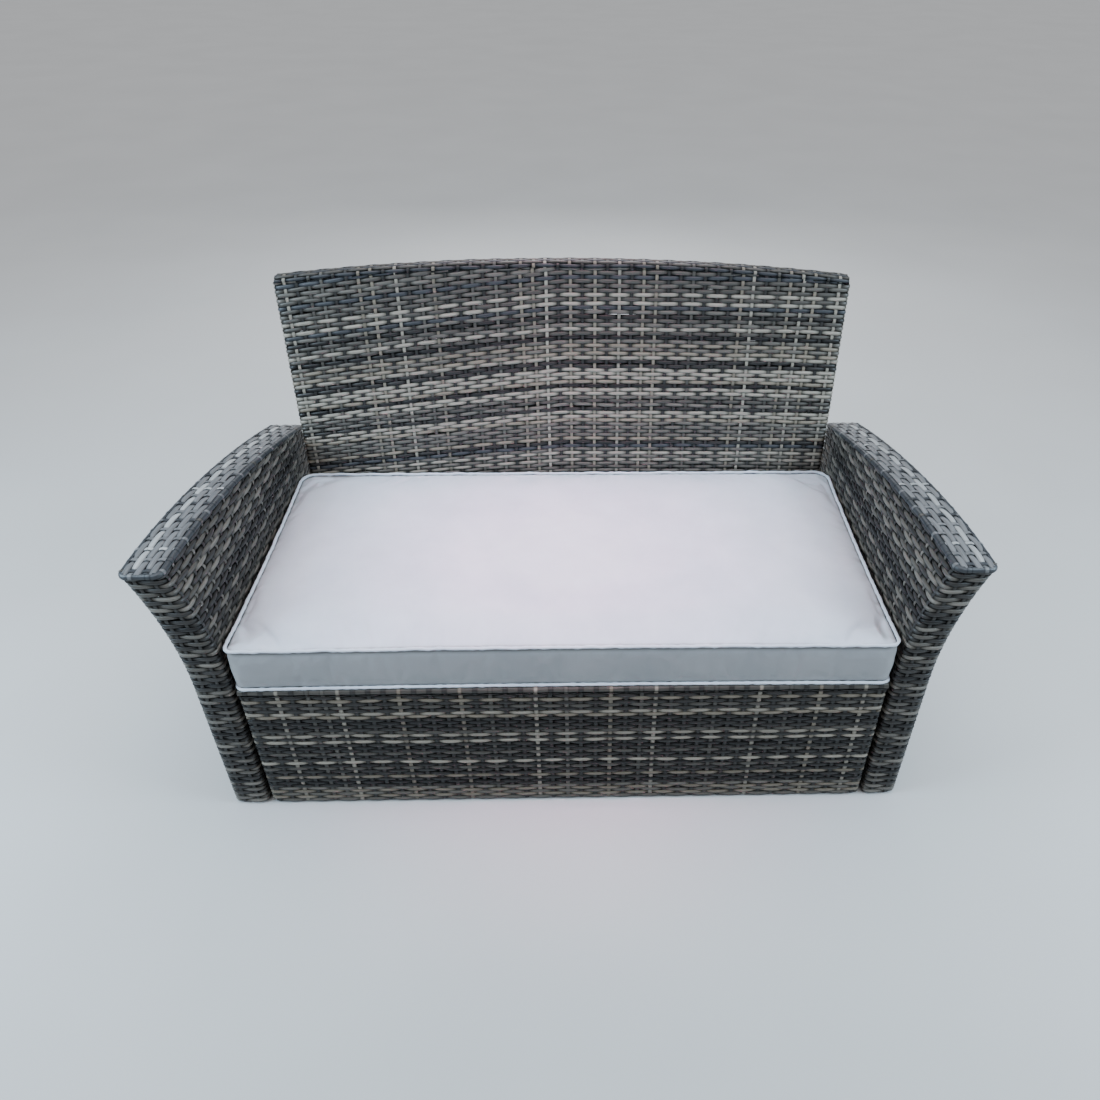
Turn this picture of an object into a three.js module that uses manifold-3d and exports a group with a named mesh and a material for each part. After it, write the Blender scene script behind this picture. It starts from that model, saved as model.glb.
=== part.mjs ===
import * as THREE from 'three';
import { mergeVertices } from 'three/addons/utils/BufferGeometryUtils.js';
import Module from 'manifold-3d';

const wasm = await Module();
wasm.setup();

// A two seat garden sofa: synthetic rattan woven over welded steel tube, with one loose boxed cushion.
// Lengths are in millimetres. X runs along the sofa, Y from its front to its back, Z up from the floor.

// Driving dimensions of the whole sofa
const seatWidth = 1100;
const seatDepth = 539;
const deckHeight = 292;
const footHeight = 5;

// Driving dimensions of an arm: an upright panel that leans out towards its front top corner
const armThickness = 66;
const armDepth = 606;
const armHeight = 540;
const armCrestSetback = 76;
const armArchRadius = 1770;
const armFlare = 49;
const armFlareStart = 296;
const armCornerRadius = 14;

// Driving dimensions of the back: a flat leaning panel with an arched top edge
const backSideGap = 13;
const backWidth = seatWidth - 2 * backSideGap;
const backPanelHeight = 782;
const backRise = 30;
const backEdgeRadius = 9;
const backLean = THREE.MathUtils.degToRad(3.9);

// Materials of the construction: two crossing flat strands make the weave, and steel tube carries it
const weaveThickness = 2.4;
const strandWidth = 8;
const tubeWall = 1.2;
const armTubeRadius = 9.5;
const backTubeRadius = 14;
const seatTubeRadius = 12.5;
const boltRadius = 3;

// Clearances
const fitGap = 0.3;
const bentTubeGap = 0.7;
const armToSeatGap = 5;
const backToSeatGap = 3;
const overrun = 4;

// Facets on round things
const tubeHalfSides = 4;
const boltSides = 10;
const bentSteps = 8;

// Colours
const strandColour = 0x4a4a4c;
const strandTopColour = 0x6d7280;
const steelColour = 0x26272a;
const zincColour = 0xa9abad;
const plasticColour = 0x161616;
const fabricColour = 0xb9b6bb;
const pipingColour = 0xa9a7ac;
const foamColour = 0xe8dfc4;
const zipColour = 0x8d8b90;

const strandMaterial = makeMaterial(strandColour, 0.55, 0);
const strandTopMaterial = makeMaterial(strandTopColour, 0.45, 0);
const steelMaterial = makeMaterial(steelColour, 0.5, 0.2);
const zincMaterial = makeMaterial(zincColour, 0.35, 0.9);
const plasticMaterial = makeMaterial(plasticColour, 0.6, 0);
const fabricMaterial = makeMaterial(fabricColour, 0.9, 0);
const pipingMaterial = makeMaterial(pipingColour, 0.9, 0);
const foamMaterial = makeMaterial(foamColour, 0.95, 0);
const zipMaterial = makeMaterial(zipColour, 0.8, 0);

const backThickness = 2 * (weaveThickness + fitGap + backTubeRadius);
const backFootY = seatDepth - deckHeight * Math.tan(backLean);
const backFaceTop = backPanelHeight + backRise - backEdgeRadius;
const sofaDepth = backFootY + backFaceTop * Math.sin(backLean) + backThickness * Math.cos(backLean);

const sofa = new THREE.Group();
sofa.position.y = -sofaDepth / 2;

function makeMaterial(color, roughness, metalness) {
  return new THREE.MeshStandardMaterial({ color, roughness, metalness });
}

function addPiece(group, name, geometry, material) {
  const piece = new THREE.Mesh(geometry, material);
  piece.name = name;
  group.add(piece);
  return piece;
}

// Booleans

function bareGeometry(geometry) {
  const bare = geometry.clone();
  bare.deleteAttribute('normal');
  bare.deleteAttribute('uv');
  return mergeVertices(bare);
}

function toSolid(geometry) {
  const bare = bareGeometry(geometry);
  const vertProperties = new Float32Array(bare.attributes.position.array);
  const triVerts = new Uint32Array(bare.index.array);
  return new wasm.Manifold(new wasm.Mesh({ numProp: 3, vertProperties, triVerts }));
}

function fromSolid(solid) {
  const mesh = solid.getMesh();
  const geometry = new THREE.BufferGeometry();
  geometry.setAttribute('position', new THREE.BufferAttribute(mesh.vertProperties, 3));
  geometry.setIndex(new THREE.BufferAttribute(mesh.triVerts, 1));
  return geometry;
}

function cutAway(geometry, tools) {
  return fromSolid(tools.reduce((left, tool) => left.subtract(toSolid(tool)), toSolid(geometry)));
}

function joined(geometry, additions) {
  return fromSolid(additions.reduce((whole, part) => whole.add(toSolid(part)), toSolid(geometry)));
}

// Tubes, rods and lofts

function roundSection(radius, wall) {
  const section = new THREE.Shape().absarc(0, 0, radius, 0, 2 * Math.PI);
  if (wall) section.holes.push(new THREE.Path().absarc(0, 0, radius - wall, 0, 2 * Math.PI));
  return section;
}

function straightTube(start, end, radius) {
  const extrudePath = new THREE.LineCurve3(start, end);
  const settings = { extrudePath, steps: 1, curveSegments: tubeHalfSides };
  return new THREE.ExtrudeGeometry(roundSection(radius, tubeWall), settings);
}

class FormulaCurve extends THREE.Curve {
  constructor(pointAt) {
    super();
    this.pointAt = pointAt;
  }

  getPoint(share) {
    return this.pointAt(share);
  }
}

function bentTube(pointAt, radius, steps) {
  const settings = { extrudePath: new FormulaCurve(pointAt), steps, curveSegments: tubeHalfSides };
  return new THREE.ExtrudeGeometry(roundSection(radius, tubeWall), settings);
}

function rod(start, end, radius) {
  const length = start.distanceTo(end);
  const geometry = new THREE.CylinderGeometry(radius, radius, length, boltSides);
  const along = end.clone().sub(start).normalize();
  const upright = new THREE.Vector3(0, 1, 0);
  geometry.applyQuaternion(new THREE.Quaternion().setFromUnitVectors(upright, along));
  const middle = start.clone().add(end).multiplyScalar(0.5);
  return geometry.translate(middle.x, middle.y, middle.z);
}

function block(size, centre) {
  return new THREE.BoxGeometry(size.x, size.y, size.z).translate(centre.x, centre.y, centre.z);
}

// A closed body through rings of points. Each ring is closed; the rings end in caps, or join end to start.
function loft(rings, { endless = false, capTriangles = [] } = {}) {
  const count = rings[0].length;
  const positions = rings.flat().flatMap((point) => [point.x, point.y, point.z]);
  const index = [];
  const bands = endless ? rings.length : rings.length - 1;
  for (let band = 0; band < bands; band += 1) {
    const lower = band * count;
    const upper = ((band + 1) % rings.length) * count;
    for (let i = 0; i < count; i += 1) {
      const next = (i + 1) % count;
      index.push(lower + i, lower + next, upper + next, lower + i, upper + next, upper + i);
    }
  }
  const last = (rings.length - 1) * count;
  capTriangles.forEach(([a, b, c]) => {
    index.push(a, c, b);
    index.push(last + a, last + b, last + c);
  });
  const geometry = new THREE.BufferGeometry();
  geometry.setAttribute('position', new THREE.Float32BufferAttribute(positions, 3));
  geometry.setIndex(index);
  return geometry;
}

// Cap of a ring whose first half runs down one side and whose second half comes back up the other
function ladderCap(count) {
  const triangles = [];
  for (let i = 0; i < count / 2 - 1; i += 1) {
    const mate = count - 1 - i;
    triangles.push([i, i + 1, mate - 1], [i, mate - 1, mate]);
  }
  return triangles;
}

// Cap of a flat ring of any outline, turning the same way as the ring
function flatCap(outline) {
  const turn = Math.sign(THREE.ShapeUtils.area(outline));
  return THREE.ShapeUtils.triangulateShape(outline, []).map(([a, b, c]) => {
    const facing = Math.sign(THREE.ShapeUtils.area([outline[a], outline[b], outline[c]]));
    return facing === turn ? [a, b, c] : [a, c, b];
  });
}

// Arms

const flareRise = armHeight - armFlareStart;
const flareRadius = (flareRise ** 2 + armFlare ** 2) / (2 * armFlare);
const armCornerSteps = 3;
const armTubeInset = weaveThickness + fitGap + armTubeRadius;
const armInnerCorner = (armCornerRadius - weaveThickness) * Math.cos(Math.PI / (4 * armCornerSteps));
const armUprightInset = armCornerRadius - (armInnerCorner - bentTubeGap - armTubeRadius) * Math.SQRT1_2;
const armFadeLength = armDepth - armUprightInset;
const topStrandThickness = 1.6;
const seatRailHeight = deckHeight - weaveThickness - fitGap - seatTubeRadius;

function flareAt(z) {
  const above = Math.max(z - armFlareStart, 0);
  return flareRadius - Math.sqrt(flareRadius ** 2 - above ** 2);
}

function flareSlope(z) {
  const above = Math.max(z - armFlareStart, 0);
  return above / Math.sqrt(flareRadius ** 2 - above ** 2);
}

function flareFade(y) {
  return Math.max(1 - y / armFadeLength, 0);
}

function armTopHeight(y) {
  return armHeight - armArchRadius + Math.sqrt(armArchRadius ** 2 - (y - armCrestSetback) ** 2);
}

// Level distance that keeps a given square distance to the leaning side face
function levelInset(inset, y, z) {
  return inset * Math.hypot(1, flareSlope(z) * flareFade(y));
}

// A point of an arm, by its level distance from the face beside the seat. Side is 1 right, -1 left.
function armPoint(side, across, y, z) {
  return new THREE.Vector3(side * (seatWidth / 2 + across + flareAt(z) * flareFade(y)), y, z);
}

// Stations along one side of an arm's plan: distance from the front, and distance in from the side face
function armSideStations(inset) {
  const straightSteps = 8;
  const reach = armCornerRadius - inset;
  const stations = [];
  for (let i = 0; i <= armCornerSteps; i += 1) {
    const turn = (i / armCornerSteps) * (Math.PI / 2);
    const away = armCornerRadius - reach * Math.sin(turn);
    stations.push({ y: armCornerRadius - reach * Math.cos(turn), away });
  }
  const straightLength = armDepth - 2 * armCornerRadius;
  for (let i = 1; i < straightSteps; i += 1) {
    stations.push({ y: armCornerRadius + (i / straightSteps) * straightLength, away: inset });
  }
  const front = stations.slice(0, armCornerSteps + 1);
  const rear = front.map(({ y, away }) => ({ y: armDepth - y, away })).reverse();
  return [...stations, ...rear];
}

// The arm's outer form, moved in all round by an inset, from a given foot height to its arched top
function armForm(side, inset, footZ) {
  const flareSteps = 7;
  const stations = armSideStations(inset);
  const rings = [];
  for (let row = 0; row <= flareSteps + 1; row += 1) {
    const heightAt = (y) => {
      if (row === 0) return footZ;
      const top = armTopHeight(y) - topStrandThickness - inset;
      return armFlareStart + ((row - 1) / flareSteps) * (top - armFlareStart);
    };
    const inner = stations.map(({ y, away }) => {
      const z = heightAt(y);
      return armPoint(side, levelInset(away, y, z), y, z);
    });
    const outer = stations.map(({ y, away }) => {
      const z = heightAt(y);
      return armPoint(side, armThickness - levelInset(away, y, z), y, z);
    });
    const ring = [...inner, ...outer.reverse()];
    rings.push(side > 0 ? ring.reverse() : ring);
  }
  return loft(rings, { capTriangles: ladderCap(rings[0].length) });
}

const armBoltShares = { front: 0.16, rear: 0.86 };
const boltHoleRadius = boltRadius + fitGap;
const bushRadius = 7;

// A rod beside an arm's seat rail, at a bolt, from a level distance before the arm's face to one behind it
function rodIntoArm(side, share, fromAcross, toAcross, radius) {
  const y = share * seatDepth;
  const start = armPoint(side, fromAcross, y, seatRailHeight);
  const end = armPoint(side, toAcross, y, seatRailHeight);
  return rod(start, end, radius);
}

function armWeave(side) {
  const hollow = armForm(side, weaveThickness, footHeight - overrun);
  const bushHoles = Object.values(armBoltShares).map((share) => (
    rodIntoArm(side, share, -overrun, armTubeInset, bushRadius + fitGap)));
  return cutAway(armForm(side, 0, footHeight), [hollow, ...bushHoles]);
}

// Five wide strands lie side by side along the arm's top, each with a rounded back
function armTopStrands(side) {
  const strandCount = 5;
  const backShares = [[0, 0.35], [0.22, 0.9], [0.5, 1], [0.78, 0.9]];
  const margin = topStrandThickness;
  const pitch = (armThickness - 2 * margin) / strandCount;
  const profile = [];
  for (let i = 0; i < strandCount; i += 1) {
    backShares.forEach(([acrossShare, heightShare]) => {
      profile.push([margin + (i + acrossShare) * pitch, heightShare * (topStrandThickness - fitGap)]);
    });
  }
  const [edgeShare] = backShares;
  profile.push([armThickness - margin, edgeShare[1] * (topStrandThickness - fitGap)]);
  profile.push([armThickness - margin, 0], [margin, 0]);
  const stations = armSideStations(margin).filter(({ away }) => away === margin).map(({ y }) => y);
  const ends = [margin, ...stations, armDepth - margin];
  const outline = side > 0 ? profile : profile.reverse();
  const rings = ends.map((y) => {
    const base = armTopHeight(y) - topStrandThickness + fitGap;
    return outline.map(([across, height]) => armPoint(side, across, y, base + height));
  });
  const capTriangles = flatCap(outline.map(([across, height]) => new THREE.Vector2(across, height)));
  return loft(rings, { capTriangles });
}

// Centre line places of an arm's two tube loops: one behind each side face
const armLoops = {
  inner: (inset) => inset,
  outer: (inset) => armThickness - inset,
};

function armLoopPoint(side, loop, y, z, inset) {
  return armPoint(side, armLoops[loop](levelInset(inset, y, z)), y, z);
}

const armRailFoot = footHeight + armTubeRadius;
const armTopRailDrop = topStrandThickness + weaveThickness + bentTubeGap + armTubeRadius;
const armBentInset = weaveThickness + bentTubeGap + armTubeRadius;

function armTopRailHeight(y) {
  return armTopHeight(y) - armTopRailDrop;
}

function armFrontUpright(side, loop) {
  const y = armUprightInset;
  const foot = armRailFoot + armTubeRadius + fitGap;
  const railZ = armTopRailHeight(y);
  const tilt = Math.atan(flareSlope(railZ) * flareFade(y));
  const head = railZ - armTubeRadius * (1 + Math.sin(tilt)) - fitGap;
  const pointAt = (share) => {
    const z = foot + share * (head - foot);
    return armLoopPoint(side, loop, y, z, armUprightInset);
  };
  return bentTube(pointAt, armTubeRadius, bentSteps);
}

function armRearUpright(side, loop) {
  const y = armDepth - armUprightInset;
  const lowestRail = armTopRailHeight(y + armTubeRadius);
  const start = armLoopPoint(side, loop, y, armRailFoot + armTubeRadius + fitGap, armUprightInset);
  const end = armLoopPoint(side, loop, y, lowestRail - armTubeRadius - 2 * fitGap, armUprightInset);
  return straightTube(start, end, armTubeRadius);
}

// Short stubs on an outer rail reach across to the inner one, near both ends
function armStubs(side, z, inset) {
  const stubShares = [0.12, 0.88];
  const stubRadius = armTubeRadius - 2 * tubeWall;
  return stubShares.map((share) => {
    const y = share * armDepth;
    const height = z(y);
    const centre = levelInset(inset, y, height);
    const start = armPoint(side, centre + levelInset(armTubeRadius + bentTubeGap, y, height), y, height);
    const end = armPoint(side, armThickness - centre - armTubeRadius / 2, y, height);
    return rod(start, end, stubRadius);
  });
}

function armTopRail(side, loop) {
  const reach = armDepth - 2 * armCornerRadius;
  const pointAt = (share) => {
    const y = armCornerRadius + share * reach;
    return armLoopPoint(side, loop, y, armTopRailHeight(y), armBentInset);
  };
  const rail = bentTube(pointAt, armTubeRadius, bentSteps);
  return loop === 'outer' ? joined(rail, armStubs(side, armTopRailHeight, armBentInset)) : rail;
}

function armBottomRail(side, loop) {
  const front = armCornerRadius;
  const rear = armDepth - armCornerRadius;
  const start = armLoopPoint(side, loop, front, armRailFoot, armTubeInset);
  const end = armLoopPoint(side, loop, rear, armRailFoot, armTubeInset);
  const rail = straightTube(start, end, armTubeRadius);
  return loop === 'outer' ? joined(rail, armStubs(side, () => armRailFoot, armTubeInset)) : rail;
}

// The rail that carries the seat has bushes welded to it, which pass through the weave to meet the seat frame
function armSeatRail(side) {
  const reach = armUprightInset + armTubeRadius + fitGap;
  const start = armPoint(side, armTubeInset, reach, seatRailHeight);
  const end = armPoint(side, armTubeInset, armDepth - reach, seatRailHeight);
  const places = Object.values(armBoltShares);
  const bushFace = fitGap - armToSeatGap;
  const bushRoot = armTubeInset - armTubeRadius / 2;
  const bushes = places.map((share) => rodIntoArm(side, share, bushFace, bushRoot, bushRadius));
  const bores = places.map((share) => rodIntoArm(side, share, bushFace - overrun, armTubeInset, boltHoleRadius));
  return cutAway(joined(straightTube(start, end, armTubeRadius), bushes), bores);
}

const sides = { left: -1, right: 1 };
Object.entries(sides).forEach(([name, side]) => {
  const arm = new THREE.Group();
  sofa.add(arm);
  Object.keys(armLoops).forEach((loop) => {
    const prefix = `${name}_arm_${loop}`;
    addPiece(arm, `${prefix}_front_upright`, armFrontUpright(side, loop), steelMaterial);
    addPiece(arm, `${prefix}_rear_upright`, armRearUpright(side, loop), steelMaterial);
    addPiece(arm, `${prefix}_top_rail`, armTopRail(side, loop), steelMaterial);
    addPiece(arm, `${prefix}_bottom_rail`, armBottomRail(side, loop), steelMaterial);
  });
  addPiece(arm, `${name}_arm_seat_rail`, armSeatRail(side), steelMaterial);
  addPiece(arm, `${name}_arm_weave`, armWeave(side), strandMaterial);
  addPiece(arm, `${name}_arm_top_strands`, armTopStrands(side), strandTopMaterial);
});

// Plastic glides under the arms' bottom rails carry the sofa

const glideShares = { front: 0.08, rear: 0.92 };
const glideLength = 26;
const glideMargin = 4;
const glideCornerRadius = 5;
const glideChamfer = 1.2;

function glide(side, share) {
  const half = armThickness / 2 - glideMargin - glideChamfer;
  const halfLength = glideLength / 2 - glideChamfer;
  const radius = glideCornerRadius - glideChamfer;
  const outline = new THREE.Shape();
  const corners = [
    { x: 1, y: -1, turnShare: -0.5 },
    { x: 1, y: 1, turnShare: 0 },
    { x: -1, y: 1, turnShare: 0.5 },
    { x: -1, y: -1, turnShare: 1 },
  ];
  corners.forEach(({ x, y, turnShare }) => {
    const centre = [x * (half - radius), y * (halfLength - radius)];
    outline.absarc(...centre, radius, turnShare * Math.PI, (turnShare + 0.5) * Math.PI);
  });
  const settings = {
    depth: footHeight - fitGap - 2 * glideChamfer,
    bevelThickness: glideChamfer,
    bevelSize: glideChamfer,
    bevelSegments: 1,
    curveSegments: 2,
  };
  const place = armPoint(side, armThickness / 2, share * armDepth, 0);
  return new THREE.ExtrudeGeometry(outline, settings).translate(place.x, place.y, glideChamfer);
}

Object.entries(sides).forEach(([name, side]) => {
  Object.entries(glideShares).forEach(([end, share]) => {
    addPiece(sofa, `${name}_${end}_glide`, glide(side, share), plasticMaterial);
  });
});

// Back: a welded tube frame inside a woven sock. Its pieces are made upright and lean together.

const back = new THREE.Group();
back.position.y = backFootY;
back.rotation.x = -backLean;
back.updateMatrix();
sofa.add(back);
const intoBack = back.matrix.clone().invert();

const backMiddle = backThickness / 2;
const backTubeInset = weaveThickness + fitGap + backTubeRadius;
const backFoot = footHeight / Math.cos(backLean) + backThickness * Math.tan(backLean);
const backArchRadius = ((backWidth / 2) ** 2 + backRise ** 2) / (2 * backRise);
const backArchCentre = backPanelHeight + backRise - backArchRadius;

function backArchHeight(x, inset) {
  return backArchCentre + Math.sqrt((backArchRadius - inset) ** 2 - x ** 2);
}

// The back's outer form with rounded edges, moved in all round by an inset; it runs on below its foot
function backForm(inset) {
  const archSegments = 7;
  const half = backWidth / 2 - backEdgeRadius;
  const radius = backArchRadius - backEdgeRadius;
  const endTurn = Math.acos(half / radius);
  const below = backFoot - backEdgeRadius;
  const outline = new THREE.Shape();
  outline.moveTo(-half, below);
  outline.lineTo(half, below);
  outline.absarc(0, backArchCentre, radius, endTurn, Math.PI - endTurn);
  const bevel = backEdgeRadius - inset;
  const settings = {
    depth: backThickness - 2 * backEdgeRadius,
    bevelThickness: bevel,
    bevelSize: bevel,
    bevelSegments: 2,
    curveSegments: archSegments,
  };
  const geometry = new THREE.ExtrudeGeometry(outline, settings);
  return geometry.rotateX(Math.PI / 2).translate(0, backThickness - backEdgeRadius, 0);
}

const backBoltShares = { left: -0.24, right: 0.24 };
const backBoltPlaces = Object.values(backBoltShares).map((share) => share * seatWidth);
const backFaceAtRail = seatDepth - (deckHeight - seatRailHeight) * Math.tan(backLean);
const backRailY = backFaceAtRail + backTubeInset / Math.cos(backLean);

function rodsIntoBack(fromY, toY, radius) {
  return backBoltPlaces.map((x) => {
    const start = new THREE.Vector3(x, fromY, seatRailHeight);
    const end = new THREE.Vector3(x, toY, seatRailHeight);
    return rod(start, end, radius).applyMatrix4(intoBack);
  });
}

function backWeave() {
  const bushHoles = rodsIntoBack(backFaceAtRail - overrun, backRailY, bushRadius + fitGap);
  const belowFoot = block(
    new THREE.Vector3(backWidth + overrun, backThickness + overrun, 4 * backEdgeRadius),
    new THREE.Vector3(0, backMiddle, backFoot - 2 * backEdgeRadius),
  );
  return cutAway(backForm(0), [backForm(weaveThickness), belowFoot, ...bushHoles]);
}

function backTopRail() {
  const radius = backArchRadius - backTubeInset;
  const reach = Math.asin((backWidth / 2 - backTubeInset) / radius);
  const pointAt = (share) => {
    const turn = reach * (2 * share - 1);
    const z = backArchCentre + radius * Math.cos(turn);
    return new THREE.Vector3(radius * Math.sin(turn), backMiddle, z);
  };
  return bentTube(pointAt, backTubeRadius, bentSteps);
}

const backRailFoot = backFoot + backTubeRadius;
const backCrossRailHeight = new THREE.Vector3(0, backRailY, seatRailHeight).applyMatrix4(intoBack).z;
const backUprightX = backWidth / 2 - backTubeInset;

function backUpright(x, footZ) {
  const lowestRail = backArchHeight(Math.abs(x) + backTubeRadius, backTubeInset + backTubeRadius + bentTubeGap);
  const start = new THREE.Vector3(x, backMiddle, footZ + backTubeRadius + fitGap);
  const end = new THREE.Vector3(x, backMiddle, lowestRail);
  return straightTube(start, end, backTubeRadius);
}

// The cross rail has bushes welded to it, which pass through the weave to meet the seat frame
function backCrossRail() {
  const reach = backUprightX - backTubeRadius - fitGap;
  const start = new THREE.Vector3(-reach, backMiddle, backCrossRailHeight);
  const end = new THREE.Vector3(reach, backMiddle, backCrossRailHeight);
  const bushFace = backFaceAtRail - backToSeatGap + fitGap;
  const bushes = rodsIntoBack(bushFace, backRailY - backTubeRadius / 2, bushRadius);
  const bores = rodsIntoBack(bushFace - overrun, backRailY, boltHoleRadius);
  return cutAway(joined(straightTube(start, end, backTubeRadius), bushes), bores);
}

const backBottomReach = backWidth / 2 - backEdgeRadius;
const backBottomRail = straightTube(
  new THREE.Vector3(-backBottomReach, backMiddle, backRailFoot),
  new THREE.Vector3(backBottomReach, backMiddle, backRailFoot),
  backTubeRadius,
);
addPiece(back, 'back_bottom_rail', backBottomRail, steelMaterial);
addPiece(back, 'back_top_rail', backTopRail(), steelMaterial);
addPiece(back, 'back_cross_rail', backCrossRail(), steelMaterial);
addPiece(back, 'back_centre_upright', backUpright(0, backCrossRailHeight), steelMaterial);
Object.entries(sides).forEach(([name, side]) => {
  addPiece(back, `back_${name}_upright`, backUpright(side * backUprightX, backRailFoot), steelMaterial);
});
addPiece(back, 'back_weave', backWeave(), strandMaterial);

// Seat frame: four rails, three bars under the woven deck, and the front skirt's frame welded below

const seatHalf = seatWidth / 2 - armToSeatGap;
const seatTubeInset = weaveThickness + fitGap + seatTubeRadius;
const seatRear = backFaceAtRail - backToSeatGap;
const skirtCornerRadius = 8;
const railReach = seatHalf - skirtCornerRadius;
const frontRailY = seatTubeInset;
const rearRailY = seatRear - seatTubeInset;
const sideRailX = seatHalf - seatTubeInset;
const skirtRailZ = footHeight + seatTubeRadius;

function seatBoltHoles(side) {
  const near = sideRailX - seatTubeRadius - seatWidth / 2 - overrun;
  const far = overrun - armToSeatGap;
  return Object.values(armBoltShares).map((share) => rodIntoArm(side, share, near, far, boltHoleRadius));
}

function rearBoltHoles() {
  return backBoltPlaces.map((x) => {
    const start = new THREE.Vector3(x, rearRailY - seatTubeRadius - overrun, seatRailHeight);
    const end = new THREE.Vector3(x, seatRear + overrun, seatRailHeight);
    return rod(start, end, boltHoleRadius);
  });
}

function railAcross(y, z) {
  return straightTube(new THREE.Vector3(-railReach, y, z), new THREE.Vector3(railReach, y, z), seatTubeRadius);
}

function barAlong(x) {
  const clear = seatTubeRadius + fitGap;
  const start = new THREE.Vector3(x, frontRailY + clear, seatRailHeight);
  const end = new THREE.Vector3(x, rearRailY - clear, seatRailHeight);
  return straightTube(start, end, seatTubeRadius);
}

function skirtPost(x) {
  const clear = seatTubeRadius + fitGap;
  const start = new THREE.Vector3(x, frontRailY, skirtRailZ + clear);
  const end = new THREE.Vector3(x, frontRailY, seatRailHeight - clear);
  return straightTube(start, end, seatTubeRadius);
}

addPiece(sofa, 'seat_front_rail', railAcross(frontRailY, seatRailHeight), steelMaterial);
addPiece(sofa, 'seat_rear_rail', cutAway(railAcross(rearRailY, seatRailHeight), rearBoltHoles()), steelMaterial);
addPiece(sofa, 'skirt_bottom_rail', railAcross(frontRailY, skirtRailZ), steelMaterial);
Object.entries(sides).forEach(([name, side]) => {
  const rail = cutAway(barAlong(side * sideRailX), seatBoltHoles(side));
  addPiece(sofa, `seat_${name}_rail`, rail, steelMaterial);
  addPiece(sofa, `skirt_${name}_post`, skirtPost(side * sideRailX), steelMaterial);
});
addPiece(sofa, 'skirt_centre_post', skirtPost(0), steelMaterial);
const barShares = { left: -0.17, right: 0.17 };
Object.entries(barShares).forEach(([name, share]) => {
  addPiece(sofa, `seat_${name}_bar`, barAlong(share * seatWidth), steelMaterial);
});

// The woven deck covers the rails and turns down over the side and rear ones

function seatDeck() {
  const front = weaveThickness + fitGap;
  const flange = 2 * seatTubeRadius;
  const depth = seatRear - front;
  const height = weaveThickness + fitGap + flange;
  const slab = block(
    new THREE.Vector3(2 * seatHalf, depth, height),
    new THREE.Vector3(0, front + depth / 2, deckHeight - height / 2),
  );
  const flangeFront = frontRailY + seatTubeRadius + fitGap;
  const under = block(
    new THREE.Vector3(2 * (seatHalf - weaveThickness), depth, height),
    new THREE.Vector3(0, front + depth / 2 - weaveThickness, deckHeight - weaveThickness - height / 2),
  );
  const frontNotch = block(
    new THREE.Vector3(2 * (seatHalf + overrun), flangeFront, height),
    new THREE.Vector3(0, flangeFront / 2, deckHeight - weaveThickness - height / 2),
  );
  const holes = Object.values(sides).flatMap((side) => seatBoltHoles(side));
  return cutAway(slab, [under, frontNotch, ...holes, ...rearBoltHoles()]);
}

// The skirt is a woven channel round the front posts, with one dark strand along its top edge

function skirtSection(height) {
  const cornerSegments = 3;
  const depth = frontRailY + seatTubeRadius;
  const outline = (half, front, radius) => {
    const path = new THREE.Shape();
    path.moveTo(-half, depth);
    path.lineTo(-half, front + radius);
    path.absarc(-half + radius, front + radius, radius, Math.PI, 1.5 * Math.PI);
    path.absarc(half - radius, front + radius, radius, 1.5 * Math.PI, 2 * Math.PI);
    path.lineTo(half, depth);
    return path;
  };
  const settings = { depth: height, bevelEnabled: false, curveSegments: cornerSegments };
  const outer = new THREE.ExtrudeGeometry(outline(seatHalf, 0, skirtCornerRadius), settings);
  const innerSettings = { ...settings, depth: height + 2 * overrun };
  const innerRadius = skirtCornerRadius - weaveThickness;
  const inner = new THREE.ExtrudeGeometry(
    outline(seatHalf - weaveThickness, weaveThickness, innerRadius),
    innerSettings,
  ).translate(0, 0, -overrun);
  const open = block(
    new THREE.Vector3(2 * (seatHalf - weaveThickness), overrun, height + 2 * overrun),
    new THREE.Vector3(0, depth, height / 2),
  );
  return cutAway(outer, [inner, open]);
}

const skirtTop = deckHeight - strandWidth;
const skirtWeave = skirtSection(skirtTop - fitGap - footHeight).translate(0, 0, footHeight);
const edgeStrand = block(
  new THREE.Vector3(2 * seatHalf, weaveThickness, strandWidth),
  new THREE.Vector3(0, weaveThickness / 2, deckHeight - strandWidth / 2),
);
addPiece(sofa, 'seat_deck_weave', seatDeck(), strandMaterial);
addPiece(sofa, 'skirt_weave', skirtWeave, strandMaterial);
addPiece(sofa, 'skirt_edge_strand', edgeStrand, strandMaterial);

// Flanged bolts: two through each side rail into an arm's bushes, and two through the rear rail into the back's

const boltHeadRadius = 5;
const boltHeadHeight = 4;
const flangeRadius = 8;
const flangeThickness = 1.6;
const hexSides = 6;

// A bolt that enters a tube at its near side and runs a given length along a direction
function flangedBolt(near, along, length) {
  const at = (distance) => near.clone().addScaledVector(along, distance);
  const seat = -fitGap;
  const flange = rod(at(seat - flangeThickness), at(seat), flangeRadius);
  const shank = rod(at(seat - flangeThickness / 2), at(length), boltRadius);
  const upright = new THREE.Vector3(0, 1, 0);
  const turn = new THREE.Quaternion().setFromUnitVectors(upright, along);
  const headMiddle = at(seat - boltHeadHeight / 2 - flangeThickness / 2);
  const head = new THREE.CylinderGeometry(boltHeadRadius, boltHeadRadius, boltHeadHeight, hexSides)
    .applyQuaternion(turn)
    .translate(headMiddle.x, headMiddle.y, headMiddle.z);
  return joined(flange, [shank, head]);
}

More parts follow.
